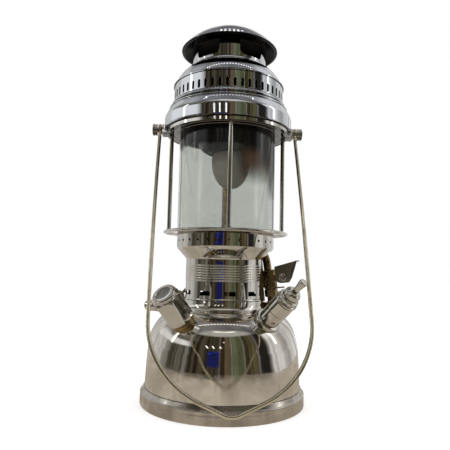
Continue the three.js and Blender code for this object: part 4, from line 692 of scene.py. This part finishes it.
dress(lathe("pump_ring", [(2.25, 31.3), (10.4, 31.3)] + arc(9.9, 32.8, 1.5, -60, 60, 6) + [
    (9.7, 34.3), (9.7, 34.8), (10.2, 35.1), (10.2, 37.6), (9.7, 38.0), (8.4, 38.2), (8.2, 38.8),
    (2.25, 38.8),
], PUMP, 144, knurled(35.0, 37.7, 36, 0.35)), "pump_collar", bevel=0.08)
dress(lathe("pump_nut", [
    (2.25, 39.1), (7.6, 39.1), (7.9, 39.5), (7.9, 43.6), (7.5, 44.4), (6.2, 45.2), (5.6, 45.5),
    (5.6, 46.5), (5.3, 46.7), (2.25, 46.7),
], PUMP, 96, knurled(39.4, 43.8, 24, 0.3)), "pump_gland_nut", bevel=0.08)
dress(lathe("pump_grip", [
    (0, 47.3), (2.6, 47.3), (2.9, 47.7), (2.9, 50), (3.1, 52.4), (3.6, 55.6), (3.9, 57.6),
] + arc(2.9, 59.2, 1.0, 0, 80, 5) + [(0, 60.3)], PUMP, SMALL), "pump_knob", bevel=0.15)

# Preheater: the ends of the valve's body, the lever's pin from its axis, and the lever's face
BODY_LOW, BODY_HIGH = 23.3, 43.7
PIN_REACH, PIN_RISE, LEVER_FACE = 12.2, 34.6, -7.9
dress(lathe("preheater_union", [
    (2.5, 3.3), (9.2, 3.3), (9.6, 3.7), (9.6, 9.4), (9.2, 9.8), (5.6, 9.8), (4.9, 10.6), (4.6, 14.7),
    (2.5, 14.7),
], PREHEATER, MEDIUM), "preheater_stem", bevel=0.15)
dress(nut("preheater_hexagon", 12.4, 15, 23, 1.2, PREHEATER, 2.5), "preheater_nut", bevel=0.25)
valve_body = lathe("preheater_valve_body", [
    (2, BODY_LOW), (6.9, BODY_LOW), (6.9, 24.6), (7.2, 25), (7.2, 33.4), (6.7, 34), (6.7, 40.4),
    (7.4, 40.9), (7.4, 42.4), (6.9, 42.9), (5.4, BODY_HIGH), (2, BODY_HIGH),
], PREHEATER, MEDIUM)
ledge = prism("ledge", [
    (-5.5, -13.5), (-4.5, -14.5), (4.5, -14.5), (5.5, -13.5), (5.5, 4.5), (-5.5, 4.5),
], BODY_LOW, 24.5, PREHEATER)
arm_side = LEVER_FACE + 0.6
arm = prism("arm", [(arm_side, -16.5), (0, -16.5), (0, 0), (arm_side, 0)], 31.4, 37.8, PREHEATER)
# a radial plate holds the valve's body in the collar's door
web = prism("web", [
    (7.6, 11), (12.6, 11), (12.6, 56), (6.4, 56), (6.4, 43.2), (0, 43.2), (0, 25), (7.6, 25),
], -0.8, 0.8, PREHEATER @ ON_EDGE)
for part in (ledge, arm, web):
    boolean(valve_body, [part], "UNION")
PIN = PREHEATER @ axis_frame(Vector((0, -PIN_REACH, PIN_RISE)), Vector((1, 0, 0)))
holes = joined([rod("bore", 2, 20, 46, PREHEATER), rod("pin_hole", 1.9, -12, 9, PIN)])
dress(boolean(valve_body, [holes]), "preheater_body", bevel=0.2)
dress(lathe("lever_pin", [
    (0, -10.0), (2.2, -10.0), (2.6, -10.7), (3.6, -10.8), (4.2, -10.3), (4.2, -9.4), (1.6, -9.4),
    (1.6, 0), (0, 0),
], PIN, SMALL), "preheater_lever_pin", material=MATERIALS["nickel_plate"], bevel=0.1)
curve = bezier((0, 1.4, 43.8), (0, 1.6, 57), (0, 2.0, 63.5), (0, 15, 68), 24)
pipe = make(*tube_along("preheater_pipe", [Vector(p) for p in curve], 4.1, SMALL, 3.0), PREHEATER)
air = rod("air", 1.1, 0, 7, PREHEATER @ axis_frame(Vector((0, 0, 52)), Vector((-1, 0, 0))))
dress(boolean(pipe, [air]), "preheater_tube", bevel=0.15)

# Control knob with a knurled rim
exit_point = on_circle(41.3, SPINDLE_TURN, SPINDLE_EXIT)
rise = (exit_point - COLUMN_FOOT).xy.length * math.tan(math.radians(43.5))
start_point = COLUMN_FOOT + Vector((0, 0, SPINDLE_EXIT + rise))
SPINDLE = axis_frame(start_point, exit_point - start_point)
face = (exit_point - start_point).length + 19
TEETH, TOOTH = 48, 0.4
rim, roots = circle(8.1, 2 * TEETH), circle(8.1 - TOOTH, 2 * TEETH)
knurl = [(roots if i % 2 else rim)[i] for i in range(2 * TEETH)]
wheel = prism("control_wheel", knurl, face - 6, face, SPINDLE)
hub = lathe("hub", [
    (0, face - 7.6), (4.2, face - 7.6), (4.2, face + 1.2), (3.7, face + 1.6), (0, face + 1.6),
], SPINDLE, SMALL)
boolean(wheel, [hub], "UNION")
dress(boolean(wheel, [rod("bore", 2.2, face - 11, face - 3.6, SPINDLE)]), "control_knob", bevel=0)


# Cutters that point out from the axis
def radial(outline, azimuth, middle, near, far):
    return prism("cutter", outline, near, far, fitting_frame(Vector((0, 0, middle)), azimuth, 0))


def oblong(width, height):
    w, h = width / 2, height / 2
    return [(-w, -h), (w, -h), (w, h), (-w, h)]


# Collar with ribs, air holes, slots and a door for the preheater; the slot at the door is left out
RIBS, RIB_LOW, RIB_STEP = 7, 125.4, 2.55
HOLES, SLOTS, DOOR_SLOT = 30, 10, 2
RIB = ((41.3, -0.75), (41.5, -0.45), (41.6, -0.15), (41.6, 0.15), (41.5, 0.45), (41.3, 0.75))
ribs = [(r, RIB_LOW + RIB_STEP * i + z) for i in range(RIBS) for r, z in RIB]
outer = [(41.9, 105.3), (42.2, 105.6), (42.2, 106.6), (41.9, 107.1), (41.3, 107.4), (41.3, 116)]
outer += ribs + [
    (41.3, 146.6), (41.6, 147.7), (42.6, 148.8), (49.9, 156.8), (51.2, 158.6), (51.7, 160.2),
    (51.8, 161.4), (51.8, 162.2), (51.8, 174.9),
]
inner = [(r - 1.0, z - (0.4 if 147 < z < 160 else 0.0)) for r, z in outer[::-1] if not 120 < z < 143]
collar = lathe("collar_sleeve", outer + inner, sides=FINE + 52)
tools = [radial(circle(1.3), 1.3 + 360 / HOLES * i, 166, 44, 56) for i in range(HOLES)]
tools += [radial(oblong(11.4, 4.5), 5.3 + 360 / SLOTS * i, 112.8, 34, 46)
          for i in range(SLOTS) if i != DOOR_SLOT]
boolean(collar, [joined(tools)])
boolean(collar, [radial(circle(4.9, SMALL), SPINDLE_TURN, SPINDLE_EXIT, 30, 50)])
boolean(collar, [radial(oblong(29, 56), PREHEATER_TURN, 129, 8, 60)])
dress(collar, "collar", material=COLLAR, bevel=0.12)

# Glass plate, glass, cage and bail
plate = lathe("glass_seat", [
    (31, 175.2), (63.3, 175.2), (63.5, 173.4),
] + arc(65, 174.9, 1.5, 250, 430, 14)[:-1] + [(64.4, 176.9), (63.4, 176.7), (31, 176.7)])
dress(plate, "glass_plate", bevel=0.12)
chimney = lathe("lamp_chimney", [
    (50.2, 177.3), (50.6, 177), (51.6, 177), (52, 177.3), (52, 282.6), (51.6, 282.9), (50.6, 282.9),
    (50.2, 282.6),
])
dress(chimney, "glass_cylinder", bevel=0)

ring = lathe("cage_ring", [
    (52.3, 281), (54.6, 281), (55.0, 281.5), (58.2, 281.5), (58.6, 281), (61.8, 281), (62.2, 281.5),
    (64.6, 281.5), (65, 281), (66.1, 281), (66.5, 281.4), (66.5, 284.6), (66.1, 285), (49.6, 285),
    (49.6, 283.2), (52.3, 283.2),
])
EAR, EAR_FOOT, EAR_IN, EAR_OUT = 6.5, 281, 69.8, 71.4
outline = [(-EAR, EAR_FOOT), (EAR, EAR_FOOT), (EAR, PIVOT)]
outline += arc(0, PIVOT, EAR, 10, 170, 12) + [(-EAR, PIVOT)]
for side in (1, -1):
    near = EAR_IN if side > 0 else -EAR_OUT
    boolean(ring, [prism("ear", outline, near, near + 1.6, ON_EDGE)], "UNION")
    corners = [(side * 61, -EAR), (side * EAR_OUT, -EAR), (side * EAR_OUT, EAR), (side * 61, EAR)]
    boolean(ring, [prism("bridge", corners, EAR_FOOT, 283.2)], "UNION")
axle = make(*tube_along("axle", [Vector((-90, 0, PIVOT)), Vector((90, 0, PIVOT))], 2.7, SMALL))
dress(boolean(ring, [axle]), "cage_top_ring", bevel=0.2)

for i in range(4):
    place = Matrix.Translation(on_circle(61, 90 * i))
    bar = lathe(f"cage_bar_{i + 1}", [
        (0, 177), (3.1, 177), (3.1, 178.4), (2.2, 179), (2.2, 279.4), (3.0, 279.8), (3.0, 280.7), (0, 280.7),
    ], place, SMALL)
    dress(bar, f"cage_rod_{i + 1}", bevel=0.15)

for side, hand in ((-1, "left"), (1, "right")):
    stud = lathe("stud_" + hand, [
        (0, 70.1), (2.4, 70.1), (2.4, 76.5), (6.0, 76.5), (6.4, 76.9), (6.4, 78.2), (5.6, 78.6), (5.6, 79.2),
        (6.4, 79.6), (6.4, 81), (6.0, 81.7), (4.4, 82.2), (3.4, 82.4), (0, 82.4),
    ], axis_frame(Vector((0, 0, PIVOT)), Vector((side, 0, 0))), SMALL)
    dress(stud, "bail_stud_" + hand, bevel=0.12)


def bail_path():
    """The wire's middle line. Half of it is drawn flat, by reach and distance from the pivots: arm,
    round corner, slope and pointed middle. Both halves are then tilted into place."""
    turn, radius, shoulder, corner, drop, tip = math.radians(62), 78.3, 71.0, 214.3, 296.9, 295.15
    arm_steps, corner_steps, point, point_depth = 25, 20, 4.5, 0.36
    half = []
    for i in range(1, arm_steps):
        s = corner * i / arm_steps
        half.append((EYE_REACH - (EYE_REACH - shoulder) * (s / corner) ** 2, s))
    for i in range(corner_steps + 1):
        a = turn * i / corner_steps
        half.append((shoulder - radius * (1 - math.cos(a)), corner + radius * math.sin(a)))
    x0, s0 = half[-1]
    slope = (drop - s0) / x0
    for share in (0.25, 0.5, 0.75):
        half.append((x0 * (1 - share), s0 + slope * x0 * share))
    half += [(x, tip - point_depth * (x / point) ** 2) for x in (point, 3.6, 2.7, 1.8, 0.9)]
    tilt, aside = math.radians(26.7), 1.9

    def hung(x, s):
        return Vector((x + aside * s / drop, -math.sin(tilt) * s, PIVOT - math.cos(tilt) * s))

    return [hung(-x, s) for x, s in half] + [hung(0, tip)] + [hung(x, s) for x, s in half[::-1]]


bail = make(*tube_along("bail_wire", bail_path(), WIRE, 20))
EYE, EYE_STEPS, SIDES = 4.7, 48, 16
for side in (-1, 1):
    middle = Vector((side * EYE_REACH, 0, PIVOT))
    verts, faces = [], []
    for i in range(EYE_STEPS):
        turn = 2 * math.pi * i / EYE_STEPS
        out = Vector((0, math.sin(turn), math.cos(turn)))
        for x, reach in circle(WIRE, SIDES):
            verts.append(middle + out * (EYE + x) + Vector((reach, 0, 0)))
        here, there = i * SIDES, (i + 1) % EYE_STEPS * SIDES
        for k in range(SIDES):
            m = (k + 1) % SIDES
            faces.append([here + k, here + m, there + m, there + k])
    boolean(bail, [make("eye", verts, faces)], "UNION")
dress(bail, "bail_handle", bevel=0, angle=50)

# Hood
def skirt_r(z):
    """The skirt's radius on its slope, from 69 at its foot to 59.6 under the vents."""
    return 69 - (69 - 59.6) / (315.9 - 299) * (z - 299)


skirt = [
    (65.4, 285.3), (67.9, 285.3), (68.7, 285.8), (69, 286.6), (69, 287.3), (69, 296.4), (69, 297.2),
    (68.7, 298.8), (67.9, 300.8), (66.9, 302.8), (65.9, 304.6), (skirt_r(307.2) + 0.2, 307.2),
] + arc(skirt_r(308.6) - 0.2, 308.6, 1.1, -60, 70, 6) + [(skirt_r(310.6), 310.6)]
skirt += arc(skirt_r(313) - 0.1, 313, 1.1, -60, 70, 6) + [
    (60.0, 315.2), (59.6, 315.9), (58.6, 315.9), (60.8, 311), (65.6, 302), (67.8, 297.5), (67.8, 288.3),
    (65.4, 287.0),
]
dress(lathe("hood_lower", skirt), "hood_skirt", bevel=0.1)
VENTS, VENT_WIDTH, VENT_HEIGHT = 50, 2.9, 8.8
band = lathe("hood_vents", [(58.6, 316.2), (59.6, 316.2), (59.6, 333.4), (58.6, 333.4)], sides=3 * VENTS)
half, rise = VENT_WIDTH / 2, (VENT_HEIGHT - VENT_WIDTH) / 2
outline = arc(0, rise, half, 0, 180, 8) + arc(0, -rise, half, 180, 360, 8)
slots = joined([radial(outline, 3.1 + 360 / VENTS * i, 321.6, 50, 64) for i in range(VENTS)])
dress(boolean(band, [slots]), "hood_vent_band", bevel=0.12)
crown = [(60.6, 333.7), (60.6, 334.6), (59.9, 335.4), (58.7, 336.0)]
crown += bezier((58.4, 336.6), (56, 342.4), (50.5, 350.6), (42.6, 354.4), 14)
crown_in = [(max(r - 1.0, 41.6), z - 0.5) for r, z in crown[4:-1]][::-1]
dress(lathe("hood_upper", crown + [(41.6, 354.4)] + crown_in + [(58.6, 333.7)]), "hood_crown", bevel=0.1)

neck_ring = lathe("chimney_sleeve", [
    (39.5, 354.7), (42.6, 354.7), (42.4, 355.6), (41.2, 356.4), (40.5, 357.2), (40.5, 386.4),
    (39.5, 386.4),
], sides=150)
# its windows leave five posts that spread at the foot; one post faces the camera
POSTS, SILL, FOOT_STEPS = 5, 359.4, 8
spacing = 40.5 * math.sin(math.pi / POSTS)
half_top, half_low = spacing - 9.3, spacing - 15
spread = []
for i in range(FOOT_STEPS + 1):
    a = i / FOOT_STEPS * math.pi / 2
    spread.append((half_low + (half_top - half_low) * math.sin(a), SILL + 8 * (1 - math.cos(a))))
outline = [(-half_low, SILL), (half_low, SILL)] + spread
outline += [(half_top, 374.4), (half_top - 1.4, 375.8), (-half_top + 1.4, 375.8), (-half_top, 374.4)]
outline += [(-x, z) for x, z in spread[::-1]]
windows = [radial(outline, CAMERA_TURN + 36 + 72 * i, 0, 20, 46) for i in range(POSTS)]
dress(boolean(neck_ring, [joined(windows)]), "chimney_neck", bevel=0.2)


# Cap: a part of a sphere, with a rolled lip and a low boss in the middle
CAP_RADIUS, CAP_FOOT, CAP_RISE, PLATE, BOSS, BOSS_STEP = 52.5, 376.8, 25, 1.0, 19, 0.8
sphere = (CAP_RADIUS**2 + CAP_RISE**2) / (2 * CAP_RISE)
centre = CAP_FOOT + CAP_RISE - sphere
full = math.asin(CAP_RADIUS / sphere)


def dome(radius, steps):
    turns = [full * (1 - i / steps) for i in range(steps + 1)]
    return [(radius * math.sin(a), centre + radius * math.cos(a)) for a in turns]


under = dome(sphere - PLATE, 20)[::-1]
under[0] = (0, under[0][1])
lip = [(49.9, 375.5), (50.6, 375.3), (51.9, 375.35), (52.7, 375.7), (53.0, 376.3)]
boss_edge = centre + math.sqrt(sphere**2 - BOSS**2)
top = [p for p in dome(sphere, 26) if p[0] > 19.4]
top += [(19.2, boss_edge - 0.1), (18.8, boss_edge + 0.2), (18.2, boss_edge + BOSS_STEP)]
boss_rise = 402.5 - boss_edge - BOSS_STEP
top += [(r, boss_edge + BOSS_STEP + boss_rise * (1 - (r / 18.2) ** 2)) for r in (15, 12, 9, 6, 3, 0)]
dress(lathe("chimney_dome", under + lip + top), "chimney_cap", bevel=0.1)

# Casing and burner inside
dress(lathe("casing_sleeve", [
    (47.6, 277), (48.9, 277), (48.9, 278), (47.6, 279), (47.6, 322), (37.4, 343), (37.4, 352.4),
    (39.4, 352.4), (39.4, 353.4), (36.4, 353.4), (36.4, 342.5), (46.6, 321.5), (46.6, 277),
]), "inner_casing", bevel=0.15)
chamber = lathe("burner_chamber", [
    (10.3, 262), (19, 262), (22.5, 262.7), (28.4, 266.3), (30.9, 268.9), (31.8, 271), (32, 273),
    (32, 280), (30.8, 280), (30.8, 271.8), (27.3, 267.4), (22, 264), (19.6, 263.2), (19.6, 279.2),
    (18.6, 280.4), (11.6, 282.2), (11, 283), (11, 291), (5.8, 291), (5.8, 280), (18.4, 278.8),
    (18.4, 263.2), (10.3, 263.2),
], sides=MEDIUM)
passage = rod("passage", 5.1, 258, 276, COLUMN)
dress(boolean(chamber, [passage]), "gas_chamber", bevel=0.15)
dress(lathe("burner_nozzle", [
    (5.5, 257.5), (8.8, 257.5), (10, 258.7), (10, 259.9), (8.9, 260.9), (8.9, 261.5), (10, 262.3),
    (10, 263.5), (13, 263.5), (13, 265.5), (5.5, 265.5),
], sides=MEDIUM), "ceramic_nozzle", bevel=0.2)


def gathered(r, z, turn):
    if r == 0:
        return r
    pull = max(0.0, (z - 250) / 11)
    uneven = 0.3 * noise.noise(Vector((math.sin(turn) * 2, math.cos(turn) * 2, z / 9)))
    return r * (1 + 0.03 * pull * math.sin(turn * 14)) + uneven


mantle_profile = [(0, 223.6)] + bezier((2, 223.7), (11, 224.2), (17.5, 232), (19.9, 245), 12)
mantle_profile += bezier((20.3, 249), (20.5, 254), (20.3, 257.5), (19.4, 260), 6)
mantle_profile += [(18.6, 261.0), (17.4, 261.5), (0, 261.5)]
sock = lathe("burnt_mantle", mantle_profile, Matrix.Translation((3.8, -3.6, 0)), 96, gathered)
recess = rod("recess", 10.3, 257.2, 264, UPRIGHT, MEDIUM)
dress(boolean(sock, [recess]), "mantle", bevel=0, angle=60)
dress(lathe("vaporizer_pipe", [
    (2.2, 160), (4.5, 160), (4.5, 177.6), (7.4, 177.6), (7.4, 181.4), (6.6, 182.2), (4.5, 182.6),
    (4.5, 284), (2.2, 284),
], COLUMN, SMALL), "vaporizer_tube", bevel=0.1)

# Nodes whose CAD shape stays
for node, obj in frame["nodes"].items():
    for slot in obj.material_slots:
        slot.link = "OBJECT"
        slot.material = LEVER if node == "preheater_lever" else MATERIALS[SLOT_OF[node]]

# Floor, light and surroundings. The parts of the hall's front, by direction in radians: start, end,
# softness of the ends, and the darkest and the lightest colour.
WALL_PARTS = (
    (-1.7, -0.9, 0.2, (0.06, 0.055, 0.042), (0.22, 0.21, 0.18)),
    (-0.95, -0.12, 0.05, (0.018, 0.015, 0.010), (0.085, 0.07, 0.045)),
    (-0.12, 0.18, 0.03, (0.04, 0.024, 0.014), (0.14, 0.105, 0.065)),
    (0.18, 0.50, 0.02, (0.085, 0.10, 0.052), (0.15, 0.165, 0.095)),
    (0.50, 0.85, 0.02, (0.04, 0.034, 0.015), (0.14, 0.12, 0.06)),
    (0.85, 1.2, 0.08, (0.022, 0.02, 0.017), (0.022, 0.02, 0.017)),
)
# A blue panel in the hall, by direction, and thin lamps: direction, low end, high end and slant
BLUE_PANEL = (-0.42, -0.13, 0.02)
STROKES = (
    (-0.44, 0.26, 0.35, 0.6), (-0.28, 0.27, 0.355, 0.5), (-0.10, 0.28, 0.345, 0.3),
    (-0.02, 0.50, 0.52, 0.0),
)
SIDE_LAMPS = (-1.52, 1.50)


def hall_walls(g, turn):
    """The dim hall round the lantern by direction: 0 is the front, growing towards +X."""
    def stripes(scale, low, high):
        texture = g.nodes.new("ShaderNodeTexNoise")
        texture.noise_dimensions = "1D"
        g.fill(texture, Scale=scale, Detail=3.0, W=turn)
        return g.ramp(texture.outputs["Fac"], low, high)

    fine, wide = stripes(6.0, 0.4, 0.62), stripes(3.0, 0.35, 0.65)
    seen = g.blend(wide, (0.44, 0.435, 0.42), (0.90, 0.90, 0.90))
    for start, end, soft, darkest, lightest in WALL_PARTS:
        seen = g.blend(g.between(turn, start, end, soft), seen, g.blend(fine, darkest, lightest))
    return seen


def add_floor():
    """A pale floor; the plating shows it as a warm grey sheet that ends before the hall."""
    half, level = 4.0, -BASE * MM
    mesh = bpy.data.meshes.new("floor")
    corners = [(-half, -half, level), (half, -half, level), (half, half, level), (-half, half, level)]
    mesh.from_pydata(corners, [], [(0, 1, 2, 3)])
    floor = add_object("floor", mesh)
    material, g, shader = new_material("pale_floor", Base_Color=(0.86, 0.855, 0.85), Roughness=0.9)
    path = g.node("ShaderNodeLightPath")
    lift = g.product(path.outputs["Is Camera Ray"], 0.4)
    glow = g.node("ShaderNodeEmission", Color=(1, 1, 1), Strength=lift)
    plain = g.node("ShaderNodeAddShader")
    g.feed(plain.inputs[0], shader.outputs["BSDF"])
    g.feed(plain.inputs[1], glow.outputs["Emission"])
    x, y, z = g.place()
    cloud = g.ramp(g.noise(9, 4, 0.6, 0.6), 0.35, 0.65)
    sheet = g.blend(cloud, (0.60, 0.545, 0.46), (0.46, 0.41, 0.34))
    far = g.length(x, y)
    turn = g.math("ARCTAN2", x, g.product(y, -1.0))
    blue = g.product(g.between(turn, *BLUE_PANEL), g.ramp(far, 0.9, 1.1))
    beyond = g.blend(blue, hall_walls(g, turn), (0.014, 0.018, 0.11))
    mirrored = g.node("ShaderNodeEmission", Color=g.blend(g.ramp(far, 0.40, 0.42), sheet, beyond))
    g.surface(path.outputs["Is Glossy Ray"], plain.outputs["Shader"], mirrored.outputs["Emission"])
    mesh.materials.append(material)


def add_lamp(name, energy, size, place):
    data = bpy.data.lights.new(name, "AREA")
    data.shape = "RECTANGLE"
    data.size, data.size_y = size
    data.energy = energy
    lamp = add_object(name, data)
    lamp.location = place
    lamp.visible_glossy = False
    target = Vector((0, 0, 0.2))
    lamp.rotation_euler = (target - Vector(place)).to_track_quat("-Z", "Y").to_euler()


def add_surroundings():
    """A white background; the plating shows a hall with a dark front, pale sides and tube lamps."""
    world = bpy.data.worlds.new("studio")
    bpy.context.scene.world = world
    world.use_nodes = True
    g = Graph(world.node_tree)
    g.nodes.clear()
    direction = g.node("ShaderNodeTexCoord").outputs["Generated"]
    x, y, z = g.split(direction)

    def spots(scale, low, high):
        texture = g.node("ShaderNodeTexNoise", Scale=scale, Detail=2.0, Vector=direction)
        return g.ramp(texture.outputs["Fac"], low, high)

    front = g.product(y, -1.0)
    turn = g.math("ARCTAN2", x, front)
    seen = hall_walls(g, turn)
    blue = g.product(g.between(turn, *BLUE_PANEL), g.between(z, -0.1, 0.15, 0.02))
    seen = g.blend(blue, seen, g.blend(spots(9.0, 0.45, 0.55), (0.012, 0.014, 0.05), (0.02, 0.03, 0.26)))
    for angle, low, high, slant in STROKES:
        leaning = g.math("SUBTRACT", turn, g.product(g.math("SUBTRACT", low, z), slant))
        stroke = g.between(leaning, angle - 0.02, angle + 0.02, 0.01)
        seen = g.blend(g.product(stroke, g.between(z, low, high, 0.01)), seen, (1.8, 1.8, 1.75))
    # the walls' upper part, darker on the left and brighter on the right, then the bright lower left
    upper = g.ramp(z, 0.40, 0.55)
    seen = g.blend(g.product(upper, g.ramp(x, -0.5, -0.8)), seen, (0.18, 0.175, 0.145))
    seen = g.blend(g.product(upper, g.between(turn, 1.25, 1.9, 0.1)), seen, (0.95, 0.94, 0.92))
    lower = g.product(g.ramp(z, 0.22, 0.28), g.ramp(z, 0.45, 0.38), g.ramp(x, -0.7, -0.85))
    seen = g.blend(lower, seen, (0.95, 0.96, 0.98))
    for angle in SIDE_LAMPS:
        bar = g.between(turn, angle - 0.03, angle + 0.03, 0.012)
        seen = g.blend(g.product(bar, g.between(z, 0.24, 0.6, 0.03)), seen, (4.0, 4.0, 3.9))
    # the ceiling: pale above the front, darker overhead, pale to the sides and the back
    over = g.blend(spots(2.2, 0.35, 0.65), (0.13, 0.127, 0.137), (0.25, 0.247, 0.26))
    over = g.blend(g.product(g.ramp(front, 0.35, 0.5), g.ramp(z, 0.93, 0.84)), over, (0.52, 0.51, 0.50))
    side = g.product(g.ramp(g.math("ABSOLUTE", x), 0.3, 0.6), g.ramp(front, 0.3, -0.2))
    pale = g.blend(g.ramp(x, -0.3, 0.3), (0.50, 0.505, 0.52), (0.82, 0.825, 0.85))
    seen = g.blend(g.ramp(z, 0.68, 0.74), seen, g.blend(side, over, pale))
    # a bright arc above the front, and rows of small lamps overhead
    arc_glow = g.product(g.between(z, 0.835, 0.86, 0.012), g.ramp(g.math("ABSOLUTE", turn), 0.55, 0.35))
    seen = g.blend(arc_glow, seen, (1.7, 1.7, 1.65))
    rise = g.most(z, 0.05)
    across, along = g.math("DIVIDE", x, rise), g.math("DIVIDE", front, rise)
    rows = g.ramp(g.math("SINE", g.total(g.product(along, 13.0), 0.6)), 0.93, 0.975)
    dots = g.ramp(g.math("SINE", g.product(across, 110.0)), -0.2, 0.3)
    ends = g.ramp(g.math("ABSOLUTE", across), 1.5, 1.3)
    seen = g.blend(g.product(rows, dots, g.ramp(z, 0.88, 0.90), ends), seen, (2.6, 2.6, 2.6))
    # the plating sees the hall, the lantern is lit evenly, and the camera sees white
    path = g.node("ShaderNodeLightPath")
    color = g.blend(path.outputs["Is Glossy Ray"], (0.80, 0.80, 0.80), seen)
    straight = g.most(path.outputs["Is Camera Ray"], path.outputs["Is Transmission Ray"])
    back = g.node("ShaderNodeBackground", Color=g.blend(straight, color, (1.0, 1.0, 1.0)), Strength=1.0)
    g.node("ShaderNodeOutputWorld", Surface=back.outputs["Background"])


add_floor()
add_surroundings()
add_lamp("lamp_left", 1.6, (0.28, 0.8), (-1.1, -0.45, 0.75))
add_lamp("lamp_right", 1.4, (0.24, 0.8), (1.15, -0.4, 0.7))
add_lamp("lamp_top", 2.4, (0.9, 0.14), (0.0, -0.55, 1.3))
bpy.context.scene.view_settings.view_transform = "Standard"
